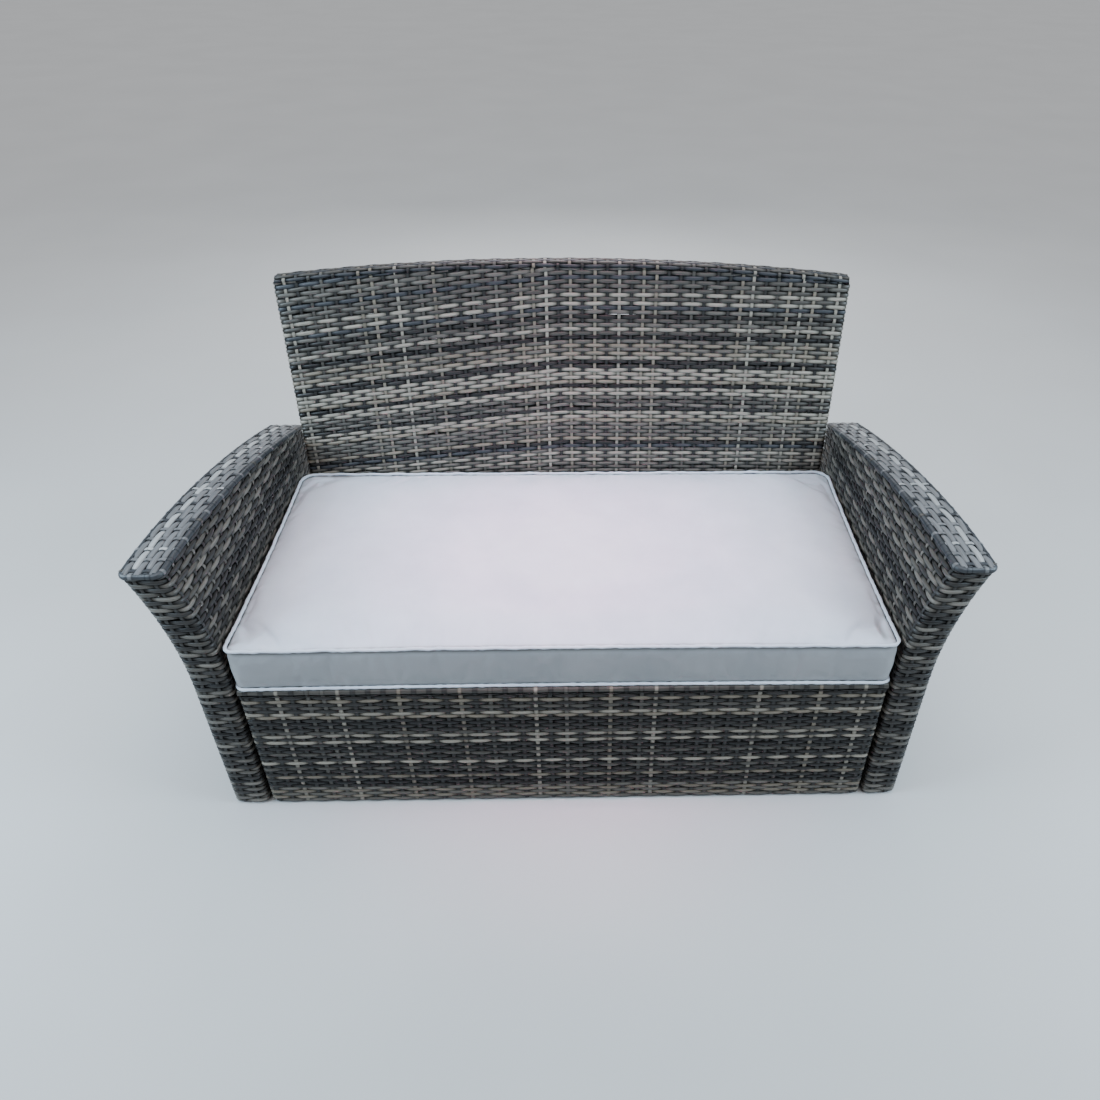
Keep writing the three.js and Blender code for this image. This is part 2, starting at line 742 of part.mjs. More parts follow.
Object.entries(sides).forEach(([name, side]) => {
  Object.entries(armBoltShares).forEach(([end, share]) => {
    const nearX = sideRailX - seatTubeRadius;
    const near = new THREE.Vector3(side * nearX, share * seatDepth, seatRailHeight);
    const length = seatWidth / 2 + armTubeInset - nearX;
    const bolt = flangedBolt(near, new THREE.Vector3(side, 0, 0), length);
    addPiece(sofa, `${name}_arm_${end}_bolt`, bolt, zincMaterial);
  });
});
Object.entries(backBoltShares).forEach(([name, share]) => {
  const nearY = rearRailY - seatTubeRadius;
  const near = new THREE.Vector3(share * seatWidth, nearY, seatRailHeight);
  const bolt = flangedBolt(near, new THREE.Vector3(0, 1, 0), backRailY - nearY);
  addPiece(sofa, `back_${name}_bolt`, bolt, zincMaterial);
});

// Cushion: foam in a boxed cover with a crowned top, drawn in sides, piping round both edges and a rear zip

const cushionThickness = 90;
const cushionCrown = 14;
const cushionSideGap = 1.5;
const cushionDraw = 4;
const cushionBulge = 3;
const frontCornerRadius = 14;
const rearCornerRadius = 32;
const coverThickness = 1.2;
const coverEdgeRadius = 4;
const pipingRadius = 2.8;

const pipingStand = (coverEdgeRadius + pipingRadius + fitGap) * Math.SQRT1_2 - coverEdgeRadius;
const pipingProud = pipingStand + pipingRadius;
const cushionBottom = deckHeight + fitGap + pipingProud;
const cushionTop = deckHeight + cushionThickness - pipingProud;
const cushionHalfWidth = seatWidth / 2 - cushionSideGap - pipingProud;
const cushionFront = pipingProud;
const cushionRear = seatDepth - cushionSideGap - pipingProud;
const cushionMiddleY = (cushionFront + cushionRear) / 2;
const cushionHalfDepth = (cushionRear - cushionFront) / 2;

// Sides pull in between the corners, apart from the rear one, which holds the zip
function drawnIn(x, y) {
  const acrossShare = x / cushionHalfWidth;
  const alongShare = y / cushionHalfDepth;
  const pulledX = x - acrossShare * cushionDraw * (1 - Math.min(alongShare ** 2, 1));
  const pulledY = y < 0 ? y - alongShare * cushionDraw * (1 - Math.min(acrossShare ** 2, 1)) : y;
  return new THREE.Vector2(pulledX, pulledY + cushionMiddleY);
}

// The cushion's plan outline, moved in by an inset; a negative inset moves it out
function cushionOutline(inset) {
  const cornerSteps = 4;
  const corners = [
    { x: 1, y: -1, radius: frontCornerRadius, turnShare: -0.5, sideSteps: 4 },
    { x: 1, y: 1, radius: rearCornerRadius, turnShare: 0, sideSteps: 8 },
    { x: -1, y: 1, radius: rearCornerRadius, turnShare: 0.5, sideSteps: 4 },
    { x: -1, y: -1, radius: frontCornerRadius, turnShare: 1, sideSteps: 8 },
  ];
  const points = [];
  corners.forEach(({ x, y, radius, turnShare, sideSteps }, i) => {
    const centre = new THREE.Vector2(x * (cushionHalfWidth - radius), y * (cushionHalfDepth - radius));
    for (let step = 0; step <= cornerSteps; step += 1) {
      const turn = (turnShare + (0.5 * step) / cornerSteps) * Math.PI;
      const reach = radius - inset;
      points.push([centre.x + reach * Math.cos(turn), centre.y + reach * Math.sin(turn)]);
    }
    const next = corners[(i + 1) % corners.length];
    const nextTurn = next.turnShare * Math.PI;
    const from = points[points.length - 1];
    const to = [
      next.x * (cushionHalfWidth - next.radius) + (next.radius - inset) * Math.cos(nextTurn),
      next.y * (cushionHalfDepth - next.radius) + (next.radius - inset) * Math.sin(nextTurn),
    ];
    for (let step = 1; step < sideSteps; step += 1) {
      const share = step / sideSteps;
      points.push([from[0] + share * (to[0] - from[0]), from[1] + share * (to[1] - from[1])]);
    }
  });
  return points.map(([x, y]) => drawnIn(x, y));
}

function cushionRing(inset, z) {
  return cushionOutline(inset).map((point) => new THREE.Vector3(point.x, point.y, z));
}

// The boxing swells outwards at mid height, except at the rear
function bulgedRing(inset, z) {
  const outline = cushionOutline(inset);
  const swollen = cushionOutline(inset - cushionBulge);
  return outline.map((point, i) => {
    const from = point.y < cushionRear - rearCornerRadius ? swollen[i] : point;
    return new THREE.Vector3(from.x, from.y, z);
  });
}

const crownShares = [0.94, 0.82, 0.62, 0.4, 0.2];
const innerCrownShares = [0.82, 0.4];
const bellyShares = [0.84, 0.94];

// A rim drawn towards the middle of its panel, by a share of its size, at another height
function drawnToMiddle(rim, share, z) {
  return rim.map((point) => (
    new THREE.Vector3(share * point.x, cushionMiddleY + share * (point.y - cushionMiddleY), z)));
}

// The cushion's closed form, moved in all round by an inset: its top is crowned, and its underside
// hangs past its lower piping to lie on the deck
function cushionForm(inset, ringShares) {
  const edge = coverEdgeRadius;
  const edgeShares = [1, 1 - Math.SQRT1_2, 0];
  const bottom = cushionBottom + inset;
  const top = cushionTop - inset;
  const lower = edgeShares.map((share, i) => {
    const rise = edgeShares[edgeShares.length - 1 - i];
    return cushionRing(inset + share * (edge - inset), bottom + rise * (edge - inset));
  });
  const upper = edgeShares.map((share, i) => {
    const drop = edgeShares[edgeShares.length - 1 - i];
    return cushionRing(inset + share * (edge - inset), top - drop * (edge - inset));
  }).reverse();
  const rim = upper[upper.length - 1];
  const crown = ringShares.map((share) => (
    drawnToMiddle(rim, share, top + cushionCrown * (1 - share ** 4))));
  const belly = bellyShares.map((share, i) => (
    drawnToMiddle(rim, share, bottom - pipingProud / (i + 1))));
  const middle = bulgedRing(inset, (bottom + top) / 2);
  const rings = [...belly, ...lower, middle, ...upper, ...crown];
  return loft(rings, { capTriangles: flatCap(cushionOutline(edge)) });
}

const zipShare = 0.8;
const zipHalfLength = zipShare * cushionHalfWidth;
const zipWidth = 24;
const zipMiddleZ = (cushionBottom + cushionTop) / 2;

function rearSlot(gap) {
  const depth = coverThickness + 2 * gap;
  return block(
    new THREE.Vector3(2 * (zipHalfLength + gap), depth, zipWidth + 2 * gap),
    new THREE.Vector3(0, cushionRear - coverThickness / 2, zipMiddleZ),
  );
}

const cushion = new THREE.Group();
sofa.add(cushion);
const coverHollow = cushionForm(coverThickness, innerCrownShares);
const cover = cutAway(cushionForm(0, crownShares), [coverHollow, rearSlot(fitGap)]);
const foam = cushionForm(coverThickness + 2 * fitGap, innerCrownShares);
addPiece(cushion, 'cushion_cover', cover, fabricMaterial);
addPiece(cushion, 'cushion_foam', foam, foamMaterial);
addPiece(cushion, 'cushion_zip_tape', rearSlot(0), zipMaterial);

function piping(z) {
  const sectionSides = 6;
  const rings = Array.from({ length: sectionSides }, (_, i) => {
    const turn = (i / sectionSides) * 2 * Math.PI;
    return cushionRing(-(pipingStand + pipingRadius * Math.cos(turn)), z + pipingRadius * Math.sin(turn));
  });
  return loft(rings, { endless: true });
}

addPiece(cushion, 'cushion_top_piping', piping(cushionTop + pipingStand), pipingMaterial);
addPiece(cushion, 'cushion_bottom_piping', piping(cushionBottom - pipingStand), pipingMaterial);

// The zip's slider runs along the tape, with its pull hanging from it

const sliderLength = 9;
const sliderHeight = 7;
const sliderThickness = 2;
const pullLength = 14;
const pullWidth = 5;
const pullThickness = 1.2;
const sliderRestX = -zipHalfLength + sliderLength;

function zipSlider() {
  const face = cushionRear + fitGap;
  const body = block(
    new THREE.Vector3(sliderLength, sliderThickness, sliderHeight),
    new THREE.Vector3(sliderRestX, face + sliderThickness / 2, zipMiddleZ),
  );
  const pull = block(
    new THREE.Vector3(pullWidth, pullThickness, pullLength),
    new THREE.Vector3(sliderRestX, face + pullThickness / 2, zipMiddleZ - pullLength / 2),
  );
  return fromSolid(toSolid(body).add(toSolid(pull)));
}

addPiece(cushion, 'zip_slider', zipSlider(), zincMaterial);

export default sofa;
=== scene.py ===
import math

import bmesh
import bpy
import numpy as np
from mathutils import Matrix, Vector


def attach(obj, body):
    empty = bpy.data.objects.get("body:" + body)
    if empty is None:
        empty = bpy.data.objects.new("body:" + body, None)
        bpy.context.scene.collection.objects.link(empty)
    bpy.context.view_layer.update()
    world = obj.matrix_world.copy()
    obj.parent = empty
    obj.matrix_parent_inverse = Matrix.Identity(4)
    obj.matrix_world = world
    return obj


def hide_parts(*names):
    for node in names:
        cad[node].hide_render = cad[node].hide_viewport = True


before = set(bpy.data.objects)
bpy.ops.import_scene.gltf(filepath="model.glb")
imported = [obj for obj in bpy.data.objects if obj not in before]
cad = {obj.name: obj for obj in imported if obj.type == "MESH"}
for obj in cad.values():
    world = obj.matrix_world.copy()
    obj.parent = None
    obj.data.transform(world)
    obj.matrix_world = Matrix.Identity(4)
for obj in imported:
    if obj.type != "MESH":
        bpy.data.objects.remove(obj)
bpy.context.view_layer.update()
sides = {"left": -1, "right": 1}

# Steel tube frames of both arms, the back, the seat and the skirt: round mild steel tube, mitred and
# welded, under a dark powder coat that is faintly clouded and shows a fine orange peel.


def new_material(name, roughness=0.5, metallic=0.0):
    """A material with its node tree and its shader."""
    material = bpy.data.materials.new(name)
    material.use_nodes = True
    tree = material.node_tree
    shader = tree.nodes["Principled BSDF"]
    shader.inputs["Roughness"].default_value = roughness
    shader.inputs["Metallic"].default_value = metallic
    return material, tree, shader


def add_node(tree, kind, values=None, **settings):
    """A shader node with its settings and the values of its own sockets."""
    node = tree.nodes.new(kind)
    for name, value in settings.items():
        setattr(node, name, value)
    for name, value in (values or {}).items():
        node.inputs[name].default_value = value
    return node


def colour_ramp(tree, stops):
    """A ramp through (place, red, green, blue) stops."""
    ramp = tree.nodes.new("ShaderNodeValToRGB")
    points = ramp.color_ramp.elements
    while len(points) < len(stops):
        points.new(0.5)
    for point, (place, *colour) in zip(points, stops):
        point.position = place
        point.color = (*colour, 1)
    return ramp


def wire(tree, *joints):
    """Joins shader nodes: (node, its output, next node, its input) for each link."""
    for source, output, target, entry in joints:
        tree.links.new(source.outputs[output], target.inputs[entry])


def bump_from(tree, shader, texture, output, strength, distance):
    """Raises the surface by a height that a texture gives."""
    bump = add_node(tree, "ShaderNodeBump", {"Strength": strength, "Distance": distance})
    wire(tree, (texture, output, bump, "Height"), (bump, "Normal", shader, "Normal"))


def coloured_by(tree, shader, texture, stops):
    """Colours the surface by a texture on the object's own coordinates, through a colour ramp."""
    place = tree.nodes.new("ShaderNodeTexCoord")
    tones = colour_ramp(tree, stops)
    wire(
        tree,
        (place, "Object", texture, "Vector"),
        (texture, "Fac", tones, "Fac"),
        (tones, "Color", shader, "Base Color"),
    )
    return place


def finish_nodes(names, material):
    """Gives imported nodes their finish."""
    for name in names:
        node = cad[name]
        node.data.materials.clear()
        node.data.materials.append(material)


powder_coat, coat, coat_shader = new_material("dark_powder_coat")
coat_cloud = add_node(coat, "ShaderNodeTexNoise", {"Scale": 40.0, "Detail": 4.0})
coat_peel = add_node(coat, "ShaderNodeTexNoise", {"Scale": 900.0, "Detail": 2.0})
coat_stops = [(0.35, 0.010, 0.010, 0.011), (0.7, 0.022, 0.022, 0.024)]
coat_place = coloured_by(coat, coat_shader, coat_cloud, coat_stops)
wire(coat, (coat_place, "Object", coat_peel, "Vector"))
bump_from(coat, coat_shader, coat_peel, "Fac", 0.25, 0.0004)

arm_tubes = [
    f"{side}_arm_{loop}_{tube}"
    for side in sides
    for loop in ("inner", "outer")
    for tube in ("front_upright", "rear_upright", "top_rail", "bottom_rail")
]
finish_nodes(arm_tubes + ["left_arm_seat_rail", "right_arm_seat_rail"], powder_coat)
other_tubes = {
    "back": ("bottom_rail", "top_rail", "cross_rail", "centre_upright", "left_upright", "right_upright"),
    "seat": ("front_rail", "rear_rail", "left_rail", "right_rail", "left_bar", "right_bar"),
    "skirt": ("bottom_rail", "left_post", "right_post", "centre_post"),
}
for place, tubes in other_tubes.items():
    finish_nodes([f"{place}_{tube}" for tube in tubes], powder_coat)

# Glides under the four corners of the arms: blocks moulded from black nylon, with a fine grain all
# over. They carry the bottom tubes clear of the ground.

glide_nylon, nylon, nylon_shader = new_material("black_nylon", 0.6)
nylon_grain = add_node(nylon, "ShaderNodeTexNoise", {"Scale": 700.0, "Detail": 3.0})
nylon_stops = [(0.4, 0.008, 0.008, 0.008), (0.75, 0.028, 0.028, 0.027)]
coloured_by(nylon, nylon_shader, nylon_grain, nylon_stops)
bump_from(nylon, nylon_shader, nylon_grain, "Fac", 0.3, 0.0003)
glides = [f"{side}_{end}_glide" for side in sides for end in ("front", "rear")]
finish_nodes(glides, glide_nylon)

# Flanged bolts that hold the arms and the back to the seat: steel with bright zinc plate, which is
# faintly clouded and brushed by the spanner.

zinc_plate, zinc, zinc_shader = new_material("zinc_plate", metallic=1.0)
zinc_cloud = add_node(zinc, "ShaderNodeTexNoise", {"Scale": 260.0, "Detail": 5.0})
coloured_by(zinc, zinc_shader, zinc_cloud, [(0.3, 0.40, 0.40, 0.38), (0.7, 0.66, 0.66, 0.68)])
zinc_rough = add_node(zinc, "ShaderNodeMapRange", {"To Min": 0.25, "To Max": 0.5})
wire(
    zinc,
    (zinc_cloud, "Fac", zinc_rough, "Value"),
    (zinc_rough, "Result", zinc_shader, "Roughness"),
)
bump_from(zinc, zinc_shader, zinc_cloud, "Fac", 0.15, 0.0002)
bolts = [f"{side}_arm_{end}_bolt" for side in sides for end in ("front", "rear")]
finish_nodes(bolts + ["back_left_bolt", "back_right_bolt"], zinc_plate)

# Woven skins of the arms. Half-round strands of extruded polyethylene run level round each arm, over
# and under flat upright strands. The upright ones bend over the arm's top edge.

sofa_shift = -0.30352
seat_half = 0.55
arm_thickness = 0.066
arm_depth = 0.606
arm_height = 0.540
arm_crest_setback = 0.076
arm_arch_radius = 1.77
arm_flare = 0.049
arm_flare_start = 0.296
arm_flare_radius = ((arm_height - arm_flare_start) ** 2 + arm_flare**2) / (2 * arm_flare)
arm_fade_length = 0.5942
arm_corner_radius = 0.014
arm_rear_radius = 0.006
weave_foot = 0.005
arm_top_cut = 0.0025
course = 0.0078

strand_plastic, strand, strand_shader = new_material("woven_strand_plastic")
strand_colour = add_node(strand, "ShaderNodeVertexColor", layer_name="strand_colour")
strand_run = add_node(strand, "ShaderNodeUVMap", uv_map="strand_run")
strand_stretch = add_node(strand, "ShaderNodeMapping")
strand_stretch.inputs["Scale"].default_value = (22.0, 9.0, 1.0)
strand_streak = add_node(strand, "ShaderNodeTexNoise", {"Scale": 1.0, "Detail": 3.0})
strand_shades = {"From Min": 0.3, "From Max": 0.7, "To Min": 0.72, "To Max": 1.25}
strand_shade = add_node(strand, "ShaderNodeMapRange", strand_shades)
strand_tinted = add_node(strand, "ShaderNodeVectorMath", operation="SCALE")
strand_gloss = add_node(strand, "ShaderNodeMapRange", {"To Min": 0.34, "To Max": 0.52})
# The painted shade kept in the strand colour's alpha also lowers the specular shine in the gaps between
# strands.
strand_shine = add_node(strand, "ShaderNodeMapRange", {"From Min": 0.3, "To Min": 0.0, "To Max": 0.4})
wire(
    strand,
    (strand_run, "UV", strand_stretch, "Vector"),
    (strand_stretch, "Vector", strand_streak, "Vector"),
    (strand_streak, "Fac", strand_shade, "Value"),
    (strand_colour, "Color", strand_tinted, 0),
    (strand_shade, "Result", strand_tinted, "Scale"),
    (strand_tinted, "Vector", strand_shader, "Base Color"),
    (strand_streak, "Fac", strand_gloss, "Value"),
    (strand_gloss, "Result", strand_shader, "Roughness"),
    (strand_colour, "Alpha", strand_shine, "Value"),
    (strand_shine, "Result", strand_shader, "Specular IOR Level"),
)
bump_from(strand, strand_shader, strand_streak, "Fac", 0.3, 0.0006)

# Strand colours of the whole sofa, from near black to the palest
strand_tones = {
    "n": (0.0070, 0.0065, 0.0065),
    "d": (0.0165, 0.0150, 0.0140),
    "s": (0.030, 0.032, 0.036),
    "m": (0.049, 0.044, 0.038),
    "g": (0.079, 0.071, 0.061),
    "t": (0.138, 0.116, 0.089),
    "l": (0.203, 0.180, 0.148),
    "b": (0.118, 0.117, 0.120),
    "c": (0.270, 0.270, 0.268),
}

# Half of a strand's section: places across its strip, and shares of its width and of its height there
strand_strip_places = (0.0, 0.25, 0.5)
strand_width_shares = (0.0, 0.37, 0.53)
strand_height_shares = (1.0, 0.58, -0.75)
stake_ridge = 0.0013
stake_edge = 0.0009
stake_ridge_half = 0.1

# How unevenly the strands lie, and how far from a bend they are drawn tight
course_wander = 0.00035
wander_waves = 8
stake_lean = 0.0006
bend_reach = 0.014
bend_tight_share = 0.8

# How much painted shade darkens the strands where they dip, at their edges and round the holes beside a
# stake, where shade falls between them
tone_spread_share = 0.1
dip_shade_offset = 1.1
darkest_share = 0.2
course_edge_share = 0.94
stake_edge_share = 0.25
edge_sharpness = 2.6
hole_edge_share = 0.9
hole_edge_reach_share = 1.4

# How far apart neighbours lie on the strands' map, so that no two show the same streaks
strand_map_step = 3.7
kind_map_step = 1.3
side_map_step = 5.0


class Outline:
    """A path of straight runs with rounded right-angled corners, by distance along it."""

    def __init__(self, corners, radii, closed=False, steps=6):
        corners = [np.array(c, float) for c in corners]
        count = len(corners)
        radii = np.broadcast_to(radii, count)
        points, facing = [], []
        for i, corner in enumerate(corners):
            before = corner - corners[i - 1]
            after = corners[(i + 1) % count] - corner
            before /= np.linalg.norm(before)
            after /= np.linalg.norm(after)
            if not closed and i in (0, count - 1):
                run = after if i == 0 else before
                points.append(corner)
                facing.append((run[1], -run[0]))
                continue
            for step in range(steps + 1):
                turn = step / steps * math.pi / 2
                sine, cosine = math.sin(turn), math.cos(turn)
                points.append(corner - radii[i] * (before * (1 - sine) - after * (1 - cosine)))
                run = before * cosine + after * sine
                facing.append((run[1], -run[0]))
        if closed:
            points.append(points[0])
            facing.append(facing[0])
        self.points = np.array(points)
        self.facing = np.array(facing)
        gaps = np.linalg.norm(np.diff(self.points, axis=0), axis=1)
        self.marks = np.concatenate([[0], np.cumsum(gaps)])
        self.length = self.marks[-1]

    def at(self, distance):
        """Places and outward directions at these distances."""
        place = [np.interp(distance, self.marks, self.points[:, i]) for i in (0, 1)]
        facing = [np.interp(distance, self.marks, self.facing[:, i]) for i in (0, 1)]
        size = np.hypot(*facing)
        return place[0], place[1], facing[0] / size, facing[1] / size


def four_sided(left, right, front, rear):
    """Corners of a closed plan."""
    return [(left, front), (right, front), (right, rear), (left, rear)]


def turned_over(left, right, drop):
    """Corners of a section that comes up one side, runs over and goes down the other."""
    return [(left, -drop), (left, 0), (right, 0), (right, -drop)]


def placed(name, data):
    """An object with this mesh, light or camera, in the scene."""
    piece = bpy.data.objects.new(name, data)
    bpy.context.scene.collection.objects.link(piece)
    return piece


def flat_strips(name, counts):
    """Flat strips in one mesh: (how many, segments along, segments across) for each kind."""
    strips = bmesh.new()
    strips.loops.layers.uv.new("strand_run")
    number = strips.verts.layers.int.new("number")
    kind = strips.verts.layers.int.new("kind")
    for k, (count, along, across) in enumerate(counts):
        for n in range(count):
            made = bmesh.ops.create_grid(
                strips, x_segments=along, y_segments=across, size=1, calc_uvs=True
            )
            for vert in made["verts"]:
                vert[number] = n
                vert[kind] = k
    mesh = bpy.data.meshes.new(name)
    strips.to_mesh(mesh)
    strips.free()
    return mesh


def unit(directions):
    """These directions at length 1."""
    return directions / np.linalg.norm(directions, axis=1)[:, None]


def mesh_places(mesh):
    """Where the mesh's points are."""
    flat = np.empty(len(mesh.vertices) * 3)
    mesh.vertices.foreach_get("co", flat)
    return flat.reshape(-1, 3)


def strip_facts(mesh):
    """Each vertex's kind, strip number, share along its strip (0 to 1) and across it (-0.5 to 0.5)."""
    flat = mesh_places(mesh)
    number = np.empty(len(flat), np.int32)
    kind = np.empty(len(flat), np.int32)
    mesh.attributes["number"].data.foreach_get("value", number)
    mesh.attributes["kind"].data.foreach_get("value", kind)
    return kind, number, (flat[:, 0] + 1) / 2, flat[:, 1] / 2


def woven_piece(name, surface, length, courses, stake_tones, course_tones, keep=None,
                ends=None, start=0.0, stake_reach=0.0, stake_width=0.0060, swell=0.02, wave=0.0008,
                stake_wave=0.0012, bulge=0.0022, depth=0.0022, shade=1.0, bends=(), steps=4,
                stiffness=3.5, dip_shade=0.75, hole=0.0048, hole_shade=0.7, seed=1):
    """A plain weave over a surface. Courses run along it and stakes across it, each over and under the
    other, with one letter of their tones for each. surface(s, t) gives places and outward directions;
    courses are (t, width) pairs, ends(t) says where a course starts and stops, and keep(s, t) where the
    weave is cut off. Courses are drawn tight round the bends. Stiffer courses stay in front for longer
    between the stakes they pass under."""
    stakes = len(stake_tones)
    pitch = length / stakes
    course_t = np.array([c[0] for c in courses])
    course_w = np.array([c[1] for c in courses])
    gap = (course_t[-1] - course_t[0]) / (len(courses) - 1)
    stake_segments = 2 * len(courses) + 2 * round(stake_reach / gap * 2)
    mesh = flat_strips(name, [(len(courses), steps * stakes, 4), (stakes, stake_segments, 2)])
    kind, number, along, across = strip_facts(mesh)
    chance = np.random.default_rng(seed)
    is_course = kind == 0
    row = np.where(is_course, number, 0)
    stake = np.where(is_course, 0, number)

    # Courses wave over one stake and under the next, wide where they are over
    s = start + along * length
    if ends is not None:
        first, last = ends(course_t[row] + across * course_w[row])
        s = first + along * (last - first)
    phase = (s - start) / pitch - 0.5 + row
    over = 1 - 2 * np.abs(np.sin(math.pi / 2 * phase)) ** stiffness
    from_stake = np.abs(np.mod(phase, 2) - 1) * pitch
    width = course_w[row] * (1 + swell * over)
    tight = sum(np.exp(-(((s - bend) / bend_reach) ** 4)) for bend in bends)
    wander = chance.normal(0, course_wander, (len(courses), wander_waves))
    drift = sum(
        wander[row, i] * np.sin((i + 1) * 2 * math.pi * along + i * row) for i in range(wander_waves)
    )
    from_middle = np.abs(across)
    width_share = np.sign(across) * np.interp(from_middle, strand_strip_places, strand_width_shares)
    course_place = course_t[row] + width_share * width + drift
    course_rise = wave * over * (1 - bend_tight_share * tight)
    course_rise += bulge * np.interp(from_middle, strand_strip_places, strand_height_shares)

    # Stakes go the other way at each crossing
    t = course_t[0] - gap / 2 - stake_reach + along * (gap * len(courses) + 2 * stake_reach)
    stake_s = start + (stake + 0.5) * pitch
    lean = chance.normal(0, stake_lean, (stakes, 2))
    stake_over = -np.cos(math.pi * (t - course_t[0]) / gap) * np.cos(math.pi * stake)
    stake_place = stake_s - across * stake_width + lean[stake, 0] + lean[stake, 1] * np.sin(9 * t)
    stake_rise = stake_wave * stake_over
    stake_rise += np.where(from_middle < stake_ridge_half, stake_ridge, stake_edge)

    s = np.where(is_course, s, stake_place)
    t = np.where(is_course, course_place, t)
    rise = np.where(is_course, course_rise, stake_rise) - depth
    place, facing = surface(s, t)
    mesh.vertices.foreach_set("co", (place + facing * rise[:, None]).ravel())
    face_outwards(mesh, facing)

    # A panel's shade scales all its strand colours; it is set per panel partly as painted light, for how
    # brightly that panel is lit.
    spread = shade * chance.normal(1, tone_spread_share, (2, max(len(courses), stakes)))
    course_colours = np.array([strand_tones[c] for c in course_tones])[row]
    stake_colours = np.array([strand_tones[c] for c in stake_tones])[stake]
    colours = np.where(is_course[:, None], course_colours, stake_colours)
    colours *= np.where(is_course, spread[0][row], spread[1][stake])[:, None]
    raised = np.where(is_course, over, stake_over)
    edge_share = np.where(is_course, course_edge_share, stake_edge_share)
    # Painted shade: strands are darkened where they dip under a stake, towards their edges and in the
    # holes beside each stake, where shade falls between them.
    painted_shade_factor = np.clip(dip_shade_offset + dip_shade * raised, darkest_share, 1)
    painted_shade_factor *= 1 - edge_share * (2 * from_middle) ** edge_sharpness
    painted_shade_factor *= 1 - hole_shade * is_course * np.exp(-((from_stake / hole) ** 4))
    hole_edge = np.exp(-((from_stake / (hole_edge_reach_share * hole)) ** 4))
    hole_edge *= (2 * from_middle) ** 1.5
    painted_shade_factor *= 1 - hole_edge_share * is_course * hole_edge
    paint_strands(mesh, colours, painted_shade_factor)
    piece = finish_strips(name, mesh, kind, number, length)
    if keep is not None:
        trim_strips(piece, keep(s, t))
    return piece


def face_outwards(mesh, facing):
    """Turns the faces round where they look against the surface's outward directions."""
    mesh.update()
    normals = np.empty(facing.size)
    mesh.vertices.foreach_get("normal", normals)
    if (normals * facing.ravel()).sum() < 0:
        mesh.flip_normals()


def paint_strands(mesh, colours, painted_shade_factor):
    """Keeps each point's colour, darkened by its painted shade, and that painted shade as its alpha,
    which also dims its shine.
    """
    painted = np.column_stack([colours * painted_shade_factor[:, None], painted_shade_factor])
    mesh.color_attributes.new("strand_colour", "FLOAT_COLOR", "POINT")
    mesh.color_attributes["strand_colour"].data.foreach_set("color", painted.ravel())


def finish_strips(name, mesh, kind, number, length):
    """Stretches the strips' own map to real metres, smooths them and makes them an object."""
    loops = np.empty(len(mesh.loops), np.int32)
    mesh.loops.foreach_get("vertex_index", loops)
    run = np.empty(len(mesh.loops) * 2)
    layer = mesh.uv_layers["strand_run"].data
    layer.foreach_get("uv", run)
    run = run.reshape(-1, 2)
    run[:, 0] = run[:, 0] * length + strand_map_step * number[loops] + kind_map_step * kind[loops]
    run[:, 1] = run[:, 1] + side_map_step * number[loops]
    layer.foreach_set("uv", run.ravel())
    mesh.attributes.remove(mesh.attributes["number"])
    mesh.attributes.remove(mesh.attributes["kind"])
    mesh.shade_smooth()
    mesh.materials.append(strand_plastic)
    return placed(name, mesh)


def trim_strips(piece, kept):
    """Cuts the strips off where they run past the panel's edge."""
    trimmed = bmesh.new()
    trimmed.from_mesh(piece.data)
    trimmed.verts.ensure_lookup_table()
    cut = [vert for vert, stays in zip(trimmed.verts, kept) if not stays]
    bmesh.ops.delete(trimmed, geom=cut, context="VERTS")
    trimmed.to_mesh(piece.data)
    trimmed.free()


def flare_at(z):
    """How far the arm's front leans out at this height."""
    above = np.maximum(z - arm_flare_start, 0)
    return arm_flare_radius - np.sqrt(arm_flare_radius**2 - above**2)


def flare_slope(z):
    """How steeply it leans there."""
    above = np.maximum(z - arm_flare_start, 0)
    return above / np.sqrt(arm_flare_radius**2 - above**2)


def arm_top_at(y):
    return arm_height - arm_arch_radius + np.sqrt(arm_arch_radius**2 - (y - arm_crest_setback) ** 2)


def flare_fade(y):
    return np.maximum(1 - y / arm_fade_length, 0)


arm_plan = Outline(
    four_sided(arm_depth, 0, arm_thickness, 0),
    (arm_rear_radius, arm_corner_radius, arm_corner_radius, arm_rear_radius),
    closed=True,
)


def arm_skin(side):
    """The arm's leaning skin: s runs round its plan and t is the height."""

    def surface(s, t):
        y, across, facing_y, facing_across = arm_plan.at(np.mod(s, arm_plan.length))
        fade = flare_fade(y)
        x = side * (seat_half + across + flare_at(t) * fade)
        place = np.stack([x, y + sofa_shift, t], 1)
        lean = -facing_across * flare_slope(t) * fade
        return place, unit(np.stack([side * facing_across, facing_y, lean], 1))

    return surface


def below_arm_top(s, t):
    y = arm_plan.at(np.mod(s, arm_plan.length))[0]
    return t < arm_top_at(y) - arm_top_cut


